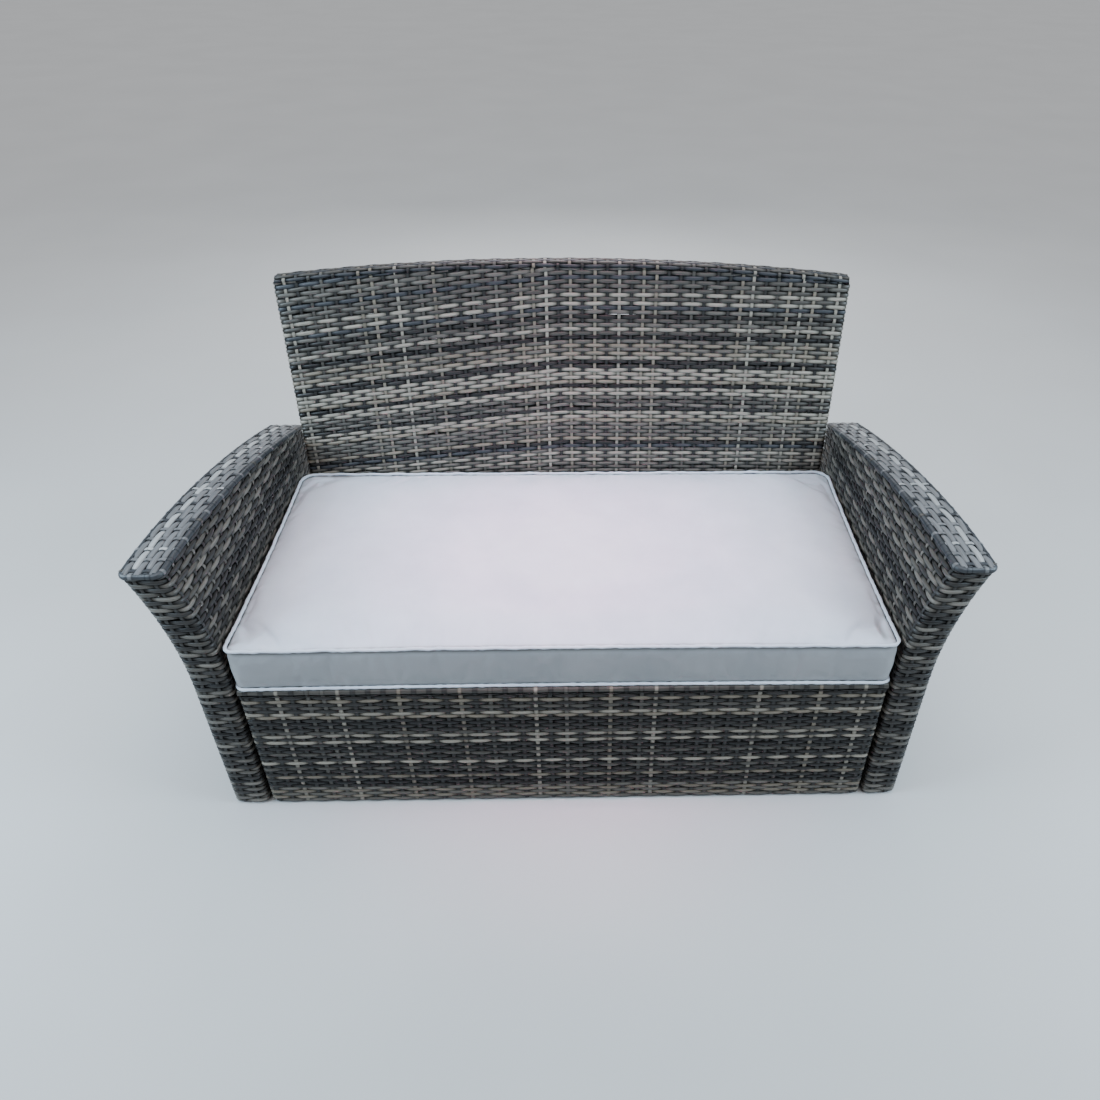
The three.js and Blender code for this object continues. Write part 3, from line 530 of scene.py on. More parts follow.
arm_course_tones = "gmgdmdgnddmgddmdnmdgmddndmdgmdmdnmdgmdnddmdmgndgmdmdgdnddmdgmdgmdmdd"
arm_courses = [(weave_foot + (k + 0.5) * course, course) for k in range(len(arm_course_tones))]
arm_stake_tones = "dmdgdmddmdgddmdndmdgddddddmdgdmddmdmdgddmdmdgdmdnd"
for side_name, side in sides.items():
    arm_weave = woven_piece(
        f"{side_name}_arm_strands",
        arm_skin(side),
        arm_plan.length,
        arm_courses,
        arm_stake_tones,
        arm_course_tones,
        keep=below_arm_top,
        swell=0.06,
        wave=0.0015,
        stake_wave=0.0013,
        depth=0.0028,
        shade=1.7,
        stiffness=3.2,
        dip_shade=0.9,
        bends=(0.600, 0.672),
        seed=11 + side,
    )
    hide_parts(f"{side_name}_arm_weave")
    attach(arm_weave, "frame")

# Strands along the arms' tops: five wide smooth ones side by side, held down by the upright strands that
# cross them, with one rounded strand bent along the edge all round.

arm_edge_drop = 0.010
arm_edge_radius = 0.004
arm_top_section = Outline(turned_over(0, arm_thickness, arm_edge_drop), arm_edge_radius, steps=4)


def arm_cap(side):
    """The arm's arched top: s runs from its front to its rear, and t over it from side to side."""

    def surface(s, t):
        across, drop, facing_across, facing_up = arm_top_section.at(t)
        facing_across, facing_up = -facing_across, -facing_up
        y = s
        z = arm_top_at(y) + drop
        slope = -(y - arm_crest_setback) / np.sqrt(arm_arch_radius**2 - (y - arm_crest_setback) ** 2)
        x = side * (seat_half + across + flare_at(z) * flare_fade(y))
        place = np.stack([x, y + sofa_shift, z], 1)
        return place, unit(np.stack([side * facing_across, -slope * facing_up, facing_up], 1))

    return surface


def arm_top_ends(t):
    """Where a strand on top starts and stops, behind the rounded corners of the arm's plan."""
    across = arm_top_section.at(t)[0]
    corner = np.maximum(arm_corner_radius - np.minimum(across, arm_thickness - across), 0)
    rounding = arm_corner_radius - np.sqrt(np.maximum(arm_corner_radius**2 - corner**2, 0))
    start = rounding + arm_top_cut
    return start, arm_depth - start


def arm_top_inside(s, t):
    first, last = arm_top_ends(t)
    return (s > first - 1e-6) & (s < last + 1e-6)


# Ties round an edge strand, the painted shadow line beside each, and how far round the edge the strand
# wraps, with painted shade where it turns under
tie_half_width = 0.0034
tie_fade = 0.0004
tie_line_width = 0.0009
tie_line_offset = 0.0006
tie_line_share = 0.45
tie_spread_share = 0.08
tie_swell_share = 0.06
tie_segments = 14
edge_segments = 6
edge_turn_share = 0.85
edge_wrap = math.radians(165)


def edge_strand(name, centre_line, length, reach, tone, tie_tones, seed):
    """One rounded strand bent along an edge and tied down by the upright strands, which bend over it.
    centre_line(s) gives the middle of the edge's rounding and two directions square to it, from which
    the strand's section turns."""
    ties = len(tie_tones)
    mesh = flat_strips(name, [(1, tie_segments * ties, edge_segments)])
    kind, number, along, across = strip_facts(mesh)
    middle, first, second = centre_line(along * length)
    from_tie = np.abs(np.mod(along * ties, 1) - 0.5) * length / ties
    tied = 1 / (1 + np.exp((from_tie - tie_half_width) / tie_fade))
    turn = math.pi / 4 + across * edge_wrap
    swell = reach * (1 - tie_swell_share / 2 + tie_swell_share * tied)
    offset = first * np.cos(turn)[:, None] + second * np.sin(turn)[:, None]
    mesh.vertices.foreach_set("co", (middle + offset * swell[:, None]).ravel())
    face_outwards(mesh, offset)
    chance = np.random.default_rng(seed)
    tie = np.minimum((along * ties).astype(int), ties - 1)
    tie_colours = np.array([strand_tones[c] for c in tie_tones])
    tie_colours *= chance.normal(1, tie_spread_share, ties)[:, None]
    colours = tied[:, None] * tie_colours[tie] + (1 - tied)[:, None] * strand_tones[tone]
    # Painted shade: a dark line beside each tie, and darker where the strand turns under the edge.
    from_line = from_tie - tie_half_width - tie_line_offset
    tie_line = np.exp(-((from_line / tie_line_width) ** 2))
    painted_shade_factor = (1 - tie_line_share * tie_line) * (1 - edge_turn_share * (2 * np.abs(across)) ** 6)
    paint_strands(mesh, colours, painted_shade_factor)
    return finish_strips(name, mesh, kind, number, length)


rim_radius = 0.0055
rim_inset = 0.0042
rim_reach = 0.0060
rim_stand = 0.0007


def arm_rim(side):
    """The rounding between the arm's sides and its top, round its plan."""

    def centre_line(s):
        y, across, facing_y, facing_across = arm_plan.at(np.mod(s, arm_plan.length))
        z = arm_top_at(y) - rim_radius + rim_stand
        x = side * (seat_half + across - rim_inset * facing_across + flare_at(z) * flare_fade(y))
        middle = np.stack([x, y - rim_inset * facing_y + sofa_shift, z], 1)
        outward = np.stack([side * facing_across, facing_y, 0 * y], 1)
        upward = np.stack([0 * y, 0 * y, 1 + 0 * y], 1)
        return middle, outward, upward

    return centre_line


top_strand_tones = "bbbcb"
top_stake_tones = "sbcbbsbsbcbsbbsbcbbsbbc"
top_strand_share = 0.96
top_strand_pitch = (arm_thickness - 2 * rim_reach) / len(top_strand_tones)
section_side = (arm_top_section.length - arm_thickness) / 2
top_strand_places = [
    (section_side + rim_reach + (k + 0.5) * top_strand_pitch, top_strand_pitch * top_strand_share)
    for k in range(len(top_strand_tones))
]
for side_name, side in sides.items():
    top_strands = woven_piece(
        f"{side_name}_arm_top_weave",
        arm_cap(side),
        arm_depth,
        top_strand_places,
        top_stake_tones,
        top_strand_tones,
        keep=arm_top_inside,
        ends=arm_top_ends,
        stake_reach=0.0115,
        stake_width=0.0070,
        swell=0.05,
        wave=0.0011,
        stake_wave=0.0014,
        bulge=0.0011,
        depth=0.0014,
        steps=8,
        stiffness=6.0,
        dip_shade=0.4,
        hole=0.0042,
        hole_shade=0.3,
        seed=31 + side,
    )
    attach(top_strands, "frame")
    rim = edge_strand(
        f"{side_name}_arm_rim_strand",
        arm_rim(side),
        arm_plan.length,
        reach=rim_radius,
        tone="s",
        tie_tones="sbssbsmb" * 6 + "sb",
        seed=41 + side,
    )
    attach(rim, "frame")
    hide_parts(f"{side_name}_arm_top_strands")

# Woven skin of the back, in the same strands. Its courses sag a little towards the left end, as hand
# weaving does, and the upright strands turn over the arched top edge.

back_width = 1.074
back_thickness = 0.0334
back_panel_height = 0.782
back_rise = 0.030
back_lean = math.radians(3.9)
back_front_at_deck = 0.539
deck_height = 0.292
back_foot_y = back_front_at_deck - deck_height * math.tan(back_lean) + sofa_shift
back_arch_radius = ((back_width / 2) ** 2 + back_rise**2) / (2 * back_rise)
back_arch_centre = back_panel_height + back_rise - back_arch_radius
back_corner_radius = 0.009
back_top_cut = 0.0105
back_foot_cut = 0.0075
back_end = back_width / 2
sag_start_height = 0.25
sag_growth_height = 0.3
left_sag = 0.030
left_sag_growth = 0.032
right_sag = 0.010
back_plan = Outline(
    four_sided(-back_end, back_end, 0, back_thickness), back_corner_radius, closed=True
)


def back_top_at(x):
    return back_arch_centre + np.sqrt(back_arch_radius**2 - x**2)


def leaning(x, y, z):
    """A point or direction of the upright back panel, leaned back about its foot."""
    sine, cosine = math.sin(back_lean), math.cos(back_lean)
    return np.stack([x, y * cosine + z * sine, z * cosine - y * sine], 1)


def back_sag(x, t):
    """How far the courses dip: most at the left end, and less low down."""
    left = np.maximum(-x / back_end, 0)
    right = np.maximum(x / back_end, 0)
    grown = np.clip((t - sag_start_height) / sag_growth_height, 0, 1)
    return (left_sag + left_sag_growth * grown) * left**1.15 + right_sag * grown * right**2


def back_skin(s, t):
    x, y, facing_x, facing_y = back_plan.at(np.mod(s, back_plan.length))
    place = leaning(x, y, t - back_sag(x, t))
    place[:, 1] += back_foot_y
    return place, leaning(facing_x, facing_y, 0 * t)


def below_back_top(s, t):
    x = back_plan.at(np.mod(s, back_plan.length))[0]
    height = t - back_sag(x, t)
    return (height < back_top_at(x) - back_top_cut) & (height > back_foot_cut)


back_half = back_plan.length / 2
back_side_straight = back_thickness / 2 - back_corner_radius
back_course = 0.0082
back_draft = "gmsmgmlmlsgdmglmngtgtlddllltnllgmgdlltggggtdsglglg"
# The rows at the top of the back are given paler tones, partly as painted light for the brighter light
# that falls there.
back_tones = "mdmgmddgmmdmlmdgmddmgmdsmdgmdmtmdgmdmmdgmdmgdgm" + back_draft[::-1] + "gmsgmsmgs"
back_first_course = 0.0125
back_courses = [(back_first_course + k * back_course, back_course) for k in range(len(back_tones))]
back_stake_tones = "tldmgddttdldmtddmdgdttldtdtdldttddmdddtldmtltdlt"
back_parts = {"front": (-back_side_straight, 13), "rear": (back_half - back_side_straight, 17)}
for part_name, (start, seed) in back_parts.items():
    back_weave = woven_piece(
        f"back_{part_name}_strands",
        back_skin,
        back_half,
        back_courses,
        back_stake_tones if part_name == "front" else back_stake_tones[::-1],
        back_tones,
        keep=below_back_top,
        start=start,
        stiffness=4.2,
        shade=1.28,
        dip_shade=0.9,
        seed=seed,
    )
    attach(back_weave, "frame")
    if part_name == "front":
        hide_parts("back_weave")

# The back's top edge: strands run along its arch, and each upright strand turns over them from the front
# to the rear.

back_edge_drop = 0.012
back_top_section = Outline(turned_over(0, back_thickness, back_edge_drop), back_corner_radius)
back_first_upright = back_half / 2 - back_side_straight
back_cap_gap = 0.002
back_cap_first_course = 0.00435
back_cap_tones = "smsmsm"
back_cap_courses = [
    (back_cap_first_course + k * back_course, back_course) for k in range(len(back_cap_tones))
]


def back_cap(s, t):
    """s runs along the arch, in step with the front's upright strands, and t over it to the rear."""
    y, drop, facing_y, facing_up = back_top_section.at(t)
    facing_y, facing_up = -facing_y, -facing_up
    x = s - back_first_upright
    slope = -x / np.sqrt(back_arch_radius**2 - x**2)
    place = leaning(x, y, back_top_at(x) + drop)
    place[:, 1] += back_foot_y
    return place, unit(leaning(-slope * facing_up, facing_y, facing_up))


def within_back_width(s, t):
    return np.abs(s - back_first_upright) < back_end - back_cap_gap


back_cap_strands = woven_piece(
    "back_top_edge_strands",
    back_cap,
    back_half,
    back_cap_courses,
    back_stake_tones,
    back_cap_tones,
    keep=within_back_width,
    start=-back_side_straight,
    seed=19,
)
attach(back_cap_strands, "frame")

# The seat's deck: wider strands woven over the rails, turned down at both ends and hidden by the
# cushion.

deck_reach = 0.545
deck_course = 0.0122
deck_strand_width = 0.0118
deck_first_course = 0.0185
deck_drop = 0.024
deck_edge_radius = 0.006
deck_section = Outline(turned_over(-deck_reach, deck_reach, deck_drop), deck_edge_radius)


def deck_skin(s, t):
    x, drop, facing_x, facing_up = deck_section.at(s)
    place = np.stack([x, t + sofa_shift, deck_height + drop], 1)
    return place, np.stack([-facing_x, 0 * t, -facing_up], 1)


deck_stake_tones = "dmdgdmddmdgddmdmdgdmdmdgdmdmddmdgdmdmdgdmdmdgd"
deck_tones = "dmdmgdmdmdmgdmdmddmgdmdmdmdmgdmdmdmgdmdmdm"
deck_courses = [
    (deck_first_course + k * deck_course, deck_strand_width) for k in range(len(deck_tones))
]
deck_strands = woven_piece(
    "seat_deck_strands",
    deck_skin,
    deck_section.length,
    deck_courses,
    deck_stake_tones,
    deck_tones,
    depth=0.0044,
    seed=23,
)
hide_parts("seat_deck_weave")
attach(deck_strands, "frame")

# The skirt: the same weave as the arms, down to the floor, with its strands turned over the seat's front
# edge at the top.

skirt_return = 0.0277
skirt_corner_radius = 0.008
skirt_top_cut = 0.2835
skirt_plan = Outline(turned_over(-deck_reach, deck_reach, -skirt_return), skirt_corner_radius)


def skirt_skin(s, t):
    x, y, facing_x, facing_y = skirt_plan.at(s)
    return np.stack([x, y + sofa_shift, t], 1), np.stack([facing_x, facing_y, 0 * t], 1)


skirt_draft = "ddtdmdltdnddmldldndmddlnmddtdndgtgtg"
skirt_stake_tones = "mddldmgldddtdddtdmddldgddtdmldddmddldmdtddldd"
skirt_courses = [(weave_foot + (k + 0.5) * course, course) for k in range(len(skirt_draft))]
skirt_strands = woven_piece(
    "skirt_strands",
    skirt_skin,
    skirt_plan.length,
    skirt_courses,
    skirt_stake_tones,
    skirt_draft[::-1],
    keep=lambda s, t: t < skirt_top_cut,
    stake_width=0.0072,
    swell=0.04,
    wave=0.0013,
    stake_wave=0.0013,
    depth=0.0026,
    shade=1.12,
    dip_shade=0.85,
    seed=29,
)
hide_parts("skirt_weave")
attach(skirt_strands, "frame")

skirt_edge_radius = 0.0065
skirt_edge_gap = 0.0005


def skirt_edge(s):
    """The rounding between the skirt and the deck, in step with the skirt's upright strands."""
    x = s - skirt_plan.length / 2
    y = sofa_shift + skirt_edge_radius + 0 * s
    middle = np.stack([x, y, deck_height - skirt_edge_radius + 0 * s], 1)
    outward = np.stack([0 * s, -1 + 0 * s, 0 * s], 1)
    upward = np.stack([0 * s, 0 * s, 1 + 0 * s], 1)
    return middle, outward, upward


skirt_top_strand = edge_strand(
    "skirt_top_edge_strand",
    skirt_edge,
    skirt_plan.length,
    reach=skirt_edge_radius,
    tone="m",
    tie_tones=skirt_stake_tones,
    seed=37,
)
edge_x = mesh_places(skirt_top_strand.data)[:, 0]
trim_strips(skirt_top_strand, np.abs(edge_x) < deck_reach - skirt_edge_gap)
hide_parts("skirt_edge_strand")
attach(skirt_top_strand, "frame")

# Cushion cover: one boxed cushion of woven acrylic fabric over foam. Its shape starts as a box with
# rounded upright corners, crowned and drawn in, and cloth simulation swells it between its seams.

cushion_half_width = 0.5444
cushion_front = 0.0041 + sofa_shift
cushion_rear = 0.5337 + sofa_shift
cushion_bottom = 0.2964
cushion_top = 0.3779
cushion_crown = 0.014
cushion_sag = 0.0038
cushion_draw = 0.004
cushion_bulge = 0.003
cushion_front_radius = 0.014
cushion_rear_radius = 0.026
cushion_middle = (cushion_front + cushion_rear) / 2
cushion_half_depth = (cushion_rear - cushion_front) / 2
cushion_swell = 0.007
cushion_voxel = 0.005
cloth_moments = 20
crown_round_share = 0.55
seam_hold_reach = 0.006
seam_snap_reach = 0.0045
boxing_stiffness = 2.8
cover_gap = 0.0027
cover_front_reach = 0.006
cover_rest_gap = 0.0004

cover_fabric, fabric, fabric_shader = new_material("grey_cushion_fabric", 0.92)
fabric_shader.inputs["Sheen Weight"].default_value = 0.25
fabric_shader.inputs["Sheen Roughness"].default_value = 0.6
fabric_place = fabric.nodes.new("ShaderNodeTexCoord")
fabric_cloud = add_node(fabric, "ShaderNodeTexNoise", {"Scale": 9.0, "Detail": 6.0, "Roughness": 0.6})
fabric_tones = colour_ramp(fabric, [(0.35, 0.485, 0.525, 0.60), (0.65, 0.555, 0.595, 0.67)])
wire(
    fabric,
    (fabric_place, "Object", fabric_cloud, "Vector"),
    (fabric_cloud, "Fac", fabric_tones, "Fac"),
)
fabric_facing = fabric.nodes.new("ShaderNodeNewGeometry")
fabric_split = fabric.nodes.new("ShaderNodeSeparateXYZ")
wire(fabric, (fabric_facing, "Normal", fabric_split, "Vector"))
yarn_ribs = {"Scale": 330.0, "Distortion": 0.8, "Detail": 1.0, "Detail Scale": 2.0}
facing_fade = {"From Min": 0.5, "From Max": 0.7, "To Min": 1, "To Max": 0}
fabric_height = None
for direction in ("X", "Y", "Z"):
    yarn = add_node(fabric, "ShaderNodeTexWave", yarn_ribs, bands_direction=direction)
    wire(fabric, (fabric_place, "Object", yarn, "Vector"))
    away = add_node(fabric, "ShaderNodeMath", operation="ABSOLUTE")
    wire(fabric, (fabric_split, direction, away, 0))
    flat_share = add_node(fabric, "ShaderNodeMapRange", facing_fade)
    wire(fabric, (away, "Value", flat_share, "Value"))
    seen_yarn = add_node(fabric, "ShaderNodeMath", operation="MULTIPLY")
    wire(fabric, (yarn, "Fac", seen_yarn, 0), (flat_share, "Result", seen_yarn, 1))
    if fabric_height is None:
        fabric_height = seen_yarn
        continue
    both = add_node(fabric, "ShaderNodeMath", operation="ADD")
    wire(fabric, (fabric_height, "Value", both, 0), (seen_yarn, "Value", both, 1))
    fabric_height = both
yarn_shades = {"From Min": 0.2, "From Max": 1.8, "To Min": 0.9, "To Max": 1.06}
fabric_shade = add_node(fabric, "ShaderNodeMapRange", yarn_shades)
fabric_colour = add_node(fabric, "ShaderNodeVectorMath", operation="SCALE")
wire(fabric, (fabric_height, "Value", fabric_shade, "Value"))
fabric_painted_shade = add_node(fabric, "ShaderNodeAttribute", attribute_name="cover_shade")
# The painted shade from cover_shade darkens the fabric and makes it warmer where it is shaded.
fabric_shadows = colour_ramp(fabric, [(0.3, 0.31, 0.28, 0.235), (1.0, 1.0, 1.0, 1.0)])
fabric_dimmed = add_node(fabric, "ShaderNodeVectorMath", operation="MULTIPLY")
wire(
    fabric,
    (fabric_tones, "Color", fabric_colour, 0),
    (fabric_shade, "Result", fabric_colour, "Scale"),
    (fabric_painted_shade, "Fac", fabric_shadows, "Fac"),
    (fabric_colour, "Vector", fabric_dimmed, 0),
    (fabric_shadows, "Color", fabric_dimmed, 1),
    (fabric_dimmed, "Vector", fabric_shader, "Base Color"),
)
bump_from(fabric, fabric_shader, fabric_height, "Value", 0.25, 0.0004)


def drawn_in(x, y):
    """The cushion's sides pull in between its corners, apart from the rear one."""
    across = x / cushion_half_width
    along = (y - cushion_middle) / cushion_half_depth
    pulled_x = x - across * cushion_draw * (1 - np.minimum(along**2, 1))
    pulled_y = y - np.minimum(along, 0) * cushion_draw * (1 - np.minimum(across**2, 1))
    return pulled_x, pulled_y


def cushion_blank():
    """The cushion's plain box, remeshed evenly for the cloth."""
    box = bmesh.new()
    bmesh.ops.create_cube(box, size=1)
    for vert in box.verts:
        vert.co.x *= 2 * cushion_half_width
        vert.co.y = cushion_middle + vert.co.y * 2 * cushion_half_depth
        vert.co.z = (cushion_bottom + cushion_top) / 2 + vert.co.z * (cushion_top - cushion_bottom)
    for is_rear, radius in ((False, cushion_front_radius), (True, cushion_rear_radius)):
        upright = [
            edge
            for edge in box.edges
            if abs(edge.verts[0].co.z - edge.verts[1].co.z) > 0.05
            and (edge.verts[0].co.y > cushion_middle) == is_rear
        ]
        bmesh.ops.bevel(box, geom=upright, offset=radius, segments=8, profile=0.5, affect="EDGES")
    mesh = bpy.data.meshes.new("cushion_blank")
    box.to_mesh(mesh)
    box.free()
    blank = placed("cushion_blank", mesh)
    remesh = blank.modifiers.new("even_mesh", "REMESH")
    remesh.mode = "VOXEL"
    remesh.voxel_size = cushion_voxel
    even = applied_mesh(blank)
    bpy.data.objects.remove(blank)
    return even


def applied_mesh(piece):
    """A piece's mesh as its modifiers leave it."""
    graph = bpy.context.evaluated_depsgraph_get()
    return bpy.data.meshes.new_from_object(piece.evaluated_get(graph), depsgraph=graph)


def swollen_by_cloth(piece, held):
    """Runs the cloth simulation, held at the seams, and gives where each point went."""
    seams = piece.vertex_groups.new(name="seams")
    for i in np.flatnonzero(held > 0.01):
        seams.add([int(i)], float(held[i]), "REPLACE")
    cloth = piece.modifiers.new("cover_cloth", "CLOTH")
    settings = cloth.settings
    settings.use_pressure = True
    settings.uniform_pressure_force = 4
    settings.effector_weights.gravity = 0
    settings.shrink_min = -0.025
    settings.bending_stiffness = 0.2
    settings.vertex_group_mass = "seams"
    for moment in range(1, cloth_moments + 1):
        bpy.context.scene.frame_set(moment)
    swollen = applied_mesh(piece)
    places = mesh_places(swollen)
    bpy.data.meshes.remove(swollen)
    piece.modifiers.remove(cloth)
    piece.vertex_groups.remove(seams)
    bpy.context.scene.frame_set(1)
    return places


def plan_inset(x, y):
    """How far inside the cushion's plan points are, and the way out from them."""
    radius = np.where(y > cushion_middle, cushion_rear_radius, cushion_front_radius)
    past_x = np.abs(x) - (cushion_half_width - radius)
    past_y = np.abs(y - cushion_middle) - (cushion_half_depth - radius)
    cornered = (past_x > 0) & (past_y > 0)
    past = np.where(cornered, np.hypot(past_x, past_y), np.maximum(past_x, past_y))
    out_x = np.where(cornered, past_x / past, past_x >= past_y) * np.sign(x)
    out_y = np.where(cornered, past_y / past, past_x < past_y) * np.sign(y - cushion_middle)
    return radius - past, out_x, out_y


def shade_cover(mesh, shades):
    """Keeps each point's share of the fabric's full colour, its painted shade, for its material."""
    mesh.attributes.new("cover_shade", "FLOAT", "POINT")
    mesh.attributes["cover_shade"].data.foreach_set("value", shades)


cover_mesh = cushion_blank()
cover_x, cover_y, cover_z = mesh_places(cover_mesh).T
inset, out_x, out_y = plan_inset(cover_x, cover_y)
cover_rise = np.clip((cover_z - cushion_bottom) / (cushion_top - cushion_bottom), 0, 1)
seam_z = np.where(cover_rise > 0.5, cushion_top, cushion_bottom)
from_seam = np.hypot(inset, cover_z - seam_z)
seam_near = np.exp(-((from_seam / seam_hold_reach) ** 2))
snapped = np.exp(-((from_seam / seam_snap_reach) ** 2))
pushed = snapped * inset + np.where(out_y > 0.3, 0, cushion_bulge) * 4 * cover_rise * (1 - cover_rise)
shaped_x, shaped_y = drawn_in(cover_x + out_x * pushed, cover_y + out_y * pushed)
across_share = np.abs(cover_x / cushion_half_width)
along_share = np.abs((cover_y - cushion_middle) / cushion_half_depth)
plan_share = np.minimum((across_share**8 + along_share**8) ** (1 / 8), 1)
shaped_z = cover_z + snapped * (seam_z - cover_z)
shaped_z += np.where(
    cover_rise > 0.5,
    cushion_crown
    * (1 - crown_round_share * plan_share**4 - (1 - crown_round_share) * plan_share**14),
    -cushion_sag * (1 - plan_share**12),
)
shaped = np.stack([shaped_x, shaped_y, shaped_z], 1)
cover_mesh.vertices.foreach_set("co", shaped.ravel())
cover_mesh.shade_smooth()
cover_mesh.materials.clear()
cover_mesh.materials.append(cover_fabric)
cushion_cover = placed("cushion_cover_fabric", cover_mesh)
moved = swollen_by_cloth(cushion_cover, seam_near) - shaped
moved *= (1 - boxing_stiffness * cover_rise * (1 - cover_rise))[:, None]
distance = np.linalg.norm(moved, axis=1)[:, None]
limited = cushion_swell * np.tanh(distance / cushion_swell)
shaped = shaped + moved * limited / np.maximum(distance, 1e-9)
side_limit = seat_half - cover_gap
front_limit = cushion_front - cover_front_reach
shaped[:, 0] = np.clip(shaped[:, 0], -side_limit, side_limit)
shaped[:, 1] = np.clip(shaped[:, 1], front_limit, cushion_rear - cover_rest_gap)
shaped[:, 2] = np.maximum(shaped[:, 2], deck_height + cover_rest_gap)

# Short creases slant away from the side seams, and a fold is pinched up beside the front right corner.
# Painted shade darkens the fabric in them, along the seams, over the boxing and along the top's side
# edges.
side_creases = {-1: (24, 0.0036), 1: (12, 0.0030)}
crease_widths = (0.003, 0.0045)
crease_reaches = (0.007, 0.015)
crease_strengths = (0.4, 1)
crease_slants = (0.2, 0.8)
crease_spread_share = 0.95
crease_start = 0.3
crease_shade_share = 0.32
seam_shade_share = 0.6
seam_shade_reach = 0.0055
boxing_shade_share = 0.54
side_shade_share = 0.13
side_shade_reach = 0.022
fold_from_side = 0.019
fold_from_front = 0.038
fold_width = 0.0042
fold_length = 0.026
fold_depth = 0.0060
fold_ridge = 0.0035
ridge_offset = 1.9
top_edge_fade = 0.004
fold_shade_share = 0.45
chance = np.random.default_rng(61)
is_top = (cover_rise > 0.5) * np.minimum(inset / top_edge_fade, 1)
from_side = cushion_half_width - np.abs(cover_x)
# Painted shade on the cover: along the seams, over the boxing, along the top's side edges, and in the
# creases and the fold below.
painted_cover_shade = seam_shade_share * np.exp(-((from_seam / seam_shade_reach) ** 4))
painted_cover_shade += boxing_shade_share * (1 - (2 * cover_rise - 1) ** 8)
painted_cover_shade += side_shade_share * np.exp(-((from_side / side_shade_reach) ** 2)) * is_top
for side, (count, crease_depth) in side_creases.items():
    for _ in range(count):
        along_side = chance.uniform(-crease_spread_share, crease_spread_share)
        start_y = cushion_middle + along_side * cushion_half_depth
        crease_y = start_y + chance.uniform(*crease_slants) * inset
        fade = np.exp(-(((cover_y - crease_y) / chance.uniform(*crease_widths)) ** 2))
        fade *= np.exp(-((inset / chance.uniform(*crease_reaches)) ** 2))
        fade *= is_top * (side * cover_x > crease_start)
        strength = chance.uniform(*crease_strengths)
        shaped[:, 2] -= crease_depth * strength * fade
        painted_cover_shade += crease_shade_share * strength * fade
fold_across = (cushion_half_width - fold_from_side - cover_x) / fold_width
fold_along = (cover_y - cushion_front - fold_from_front) / fold_length
fold_fade = np.exp(-(fold_along**4)) * is_top
shaped[:, 2] -= fold_depth * np.exp(-(fold_across**2)) * fold_fade
shaped[:, 2] += fold_ridge * np.exp(-((fold_across - ridge_offset) ** 2)) * fold_fade
painted_cover_shade += fold_shade_share * np.exp(-(fold_across**2)) * fold_fade
shade_cover(cover_mesh, np.clip(1 - painted_cover_shade, 0.3, 1))
cover_mesh.vertices.foreach_set("co", shaped.ravel())
cover_mesh.update()
cover_finish = cushion_cover.modifiers.new("smooth_cover", "SUBSURF")
cover_finish.levels = 1
cover_finish.render_levels = 1
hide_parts("cushion_cover", "cushion_foam")
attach(cushion_cover, "cushion")

# Piping: a corded strip of the cover's fabric, sewn into both edges. It wavers a little between
# stitches.

piping_radius = 0.0028
piping_stand = 0.0013
piping_segments = (900, 10)
piping_wavers = (7, 16, 27, 41, 63)
piping_creases = (131, 187, 230)
piping_crease_share = 0.06
piping_fabric = cover_fabric.copy()
piping_fabric.name = "grey_piping_fabric"
cushion_plan = Outline(
    four_sided(-cushion_half_width, cushion_half_width, cushion_front, cushion_rear),
    (cushion_front_radius, cushion_front_radius, cushion_rear_radius, cushion_rear_radius),
    closed=True,
)


def grid_mesh(name, along, across, size=1):
    """A flat square mesh with this many segments each way."""
    grid = bmesh.new()
    bmesh.ops.create_grid(grid, x_segments=along, y_segments=across, size=size)
    mesh = bpy.data.meshes.new(name)
    grid.to_mesh(mesh)
    grid.free()
    return mesh


def piping(name, height, waver, seed):
    """A closed cord round the cushion's plan."""
    mesh = grid_mesh(name, *piping_segments)
    grid = mesh_places(mesh)
    along = (grid[:, 0] + 1) / 2
    turn = (grid[:, 1] + 1) * math.pi
    x, y, facing_x, facing_y = cushion_plan.at(along * cushion_plan.length)
    chance = np.random.default_rng(seed)
    wave = sum(
        chance.uniform(0.3, 1) * np.sin(2 * math.pi * (count * along + chance.random()))
        for count in piping_wavers
    )
    crease = 1 + piping_crease_share * sum(
        np.sin(2 * math.pi * (count * along + chance.random())) for count in piping_creases
    )
    out = piping_stand + piping_radius * crease * np.cos(turn)
    x, y = drawn_in(x + facing_x * out, y + facing_y * out)
    z = height + waver * np.abs(wave) / 2 + piping_radius * crease * np.sin(turn)
    mesh.vertices.foreach_set("co", np.stack([x, y, z], 1).ravel())
    welded = bmesh.new()
    welded.from_mesh(mesh)
    bmesh.ops.remove_doubles(welded, verts=welded.verts, dist=1e-5)
    bmesh.ops.recalc_face_normals(welded, faces=welded.faces)
    welded.to_mesh(mesh)
    welded.free()
    shade_cover(mesh, np.ones(len(mesh.vertices)))
    mesh.shade_smooth()
    mesh.materials.append(piping_fabric)
    piece = placed(name, mesh)
    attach(piece, "cushion")
    return piece


top_piping = piping("top_edge_piping", cushion_top + piping_stand, waver=0.0014, seed=51)
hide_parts("cushion_top_piping")
bottom_piping = piping(
    "bottom_edge_piping", cushion_bottom - piping_stand, waver=0.0005, seed=53
)
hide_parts("cushion_bottom_piping")

# Zip in the rear boxing: a woven tape with a nylon coil along its middle, and the slider that runs on
# it.

zip_half_length = 0.8 * cushion_half_width
zip_half_width = 0.012
zip_height = (cushion_bottom + cushion_top) / 2
coil_pitch = 0.0025
coil_half_width = 0.0030
coil_height = 0.0012
tooth_share = 0.4
tape_segments = (1400, 10)

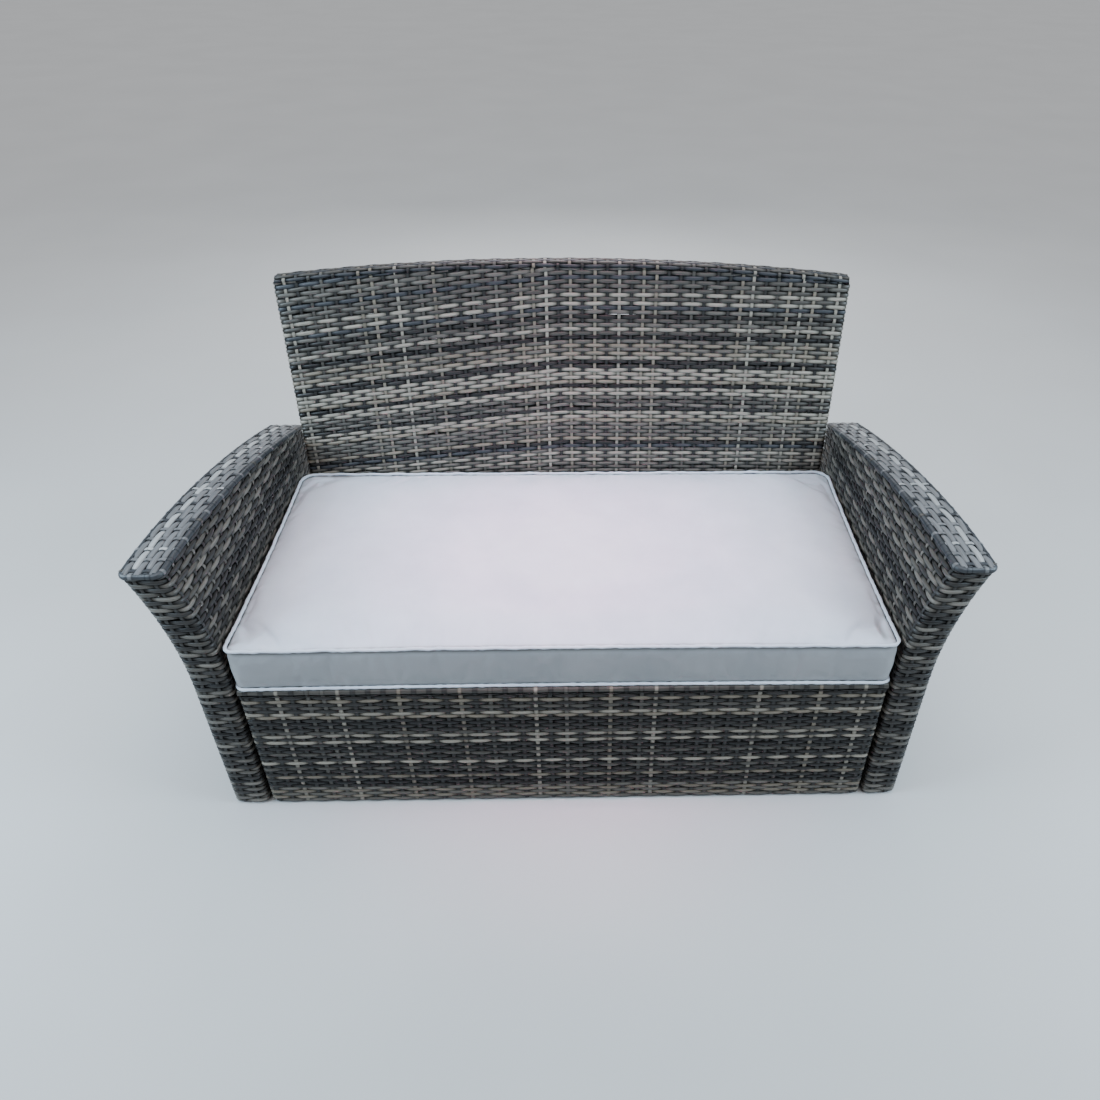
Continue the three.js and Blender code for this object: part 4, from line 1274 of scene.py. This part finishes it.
zip_weave, tape, tape_shader = new_material("zip_tape_weave", 0.8)
tape_rib = add_node(tape, "ShaderNodeTexWave", {"Scale": 300.0, "Distortion": 0.4}, bands_direction="X")
coloured_by(tape, tape_shader, tape_rib, [(0.2, 0.30, 0.295, 0.31), (0.8, 0.42, 0.415, 0.43)])
bump_from(tape, tape_shader, tape_rib, "Fac", 0.3, 0.0003)

tape_mesh = grid_mesh("zip_tape_and_coil", *tape_segments)
tape_at = mesh_places(tape_mesh)
tape_x = tape_at[:, 0] * zip_half_length
coil = np.exp(-((tape_at[:, 1] * zip_half_width / coil_half_width) ** 4))
tooth_turn = 2 * math.pi * tape_x / coil_pitch + math.pi * np.sign(tape_at[:, 1]) / 2
toothed = 1 - tooth_share + tooth_share * np.sin(tooth_turn)
tape_y = cushion_rear + cover_rest_gap + coil_height * coil * toothed
tape_z = zip_height + tape_at[:, 1] * zip_half_width
tape_mesh.vertices.foreach_set("co", np.stack([tape_x, tape_y, tape_z], 1).ravel())
face_outwards(tape_mesh, np.tile((0.0, 1.0, 0.0), (len(tape_x), 1)))
tape_mesh.shade_smooth()
tape_mesh.materials.append(zip_weave)
zip_tape = placed("zip_tape_and_coil", tape_mesh)
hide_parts("cushion_zip_tape")
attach(zip_tape, "cushion")
finish_nodes(["zip_slider"], zinc_plate)

# Plain pale floor, studio light and the photograph's own viewing angle

floor_paint, paint, paint_shader = new_material("pale_floor", 0.9)
paint_cloud = add_node(paint, "ShaderNodeTexNoise", {"Scale": 2.0, "Detail": 2.0})
coloured_by(paint, paint_shader, paint_cloud, [(0.3, 0.39, 0.39, 0.39), (0.7, 0.41, 0.41, 0.41)])
floor_mesh = grid_mesh("studio_floor", 1, 1, size=30)
floor_mesh.materials.append(floor_paint)
floor = placed("studio_floor", floor_mesh)

studio = bpy.data.worlds.new("studio")
studio.use_nodes = True
background = studio.node_tree.nodes["Background"]
background.inputs["Color"].default_value = (1.0, 1.0, 1.0, 1)
background.inputs["Strength"].default_value = 0.15
bpy.context.scene.world = studio


def softbox(name, place, target, size, power, colour, spread=180):
    """A soft square light that looks at a point, with its beam's width in degrees."""
    light = bpy.data.lights.new(name, "AREA")
    light.shape = "SQUARE"
    light.size = size
    light.energy = power
    light.color = colour
    light.spread = math.radians(spread)
    lamp = placed(name, light)
    lamp.location = place
    lamp.rotation_euler = (Vector(target) - Vector(place)).to_track_quat("-Z", "Y").to_euler()


softbox("key_light", (0.0, -0.2, 3.4), (0, -0.06, 0.4), 0.5, 2.2, (1.0, 0.45, 0.62), 18)
softbox("left_light", (-2.0, -0.6, 1.6), (-0.3, 0, 0.4), 1.2, 94, (0.62, 0.83, 1.0))
softbox("right_light", (2.0, -0.6, 1.6), (0.3, 0, 0.4), 1.2, 82, (0.64, 0.84, 1.0))
softbox("rear_light", (0.0, 2.6, 1.7), (0, 0.3, 0.4), 1.6, 45, (0.95, 0.97, 1.0))
ceiling = bpy.data.lights.new("ceiling_light", "SUN")
ceiling.energy = 3.2
ceiling.color = (0.95, 0.97, 1.0)
ceiling.angle = math.radians(75)
placed("ceiling_light", ceiling)

camera_data = bpy.data.cameras.new("photo_camera")
camera_data.lens = 28.78
camera_data.sensor_width = 36
camera_data.shift_x = -0.0461
camera_data.shift_y = 0.0061
camera = placed("photo_camera", camera_data)
camera_place = (0.0222, -1.3364, 1.3551)
pitch, roll, yaw = 0.65085, 0.01173, 0.03219
forward = Vector(
    (math.sin(yaw) * math.cos(pitch), math.cos(yaw) * math.cos(pitch), -math.sin(pitch))
)
level = Vector((math.cos(yaw), -math.sin(yaw), 0))
upward = level.cross(forward)
camera_right = level * math.cos(roll) + upward * math.sin(roll)
camera_up = upward * math.cos(roll) - level * math.sin(roll)
turned = Matrix((camera_right, camera_up, -forward)).transposed()
camera.matrix_world = Matrix.Translation(camera_place) @ turned.to_4x4()
bpy.context.scene.camera = camera
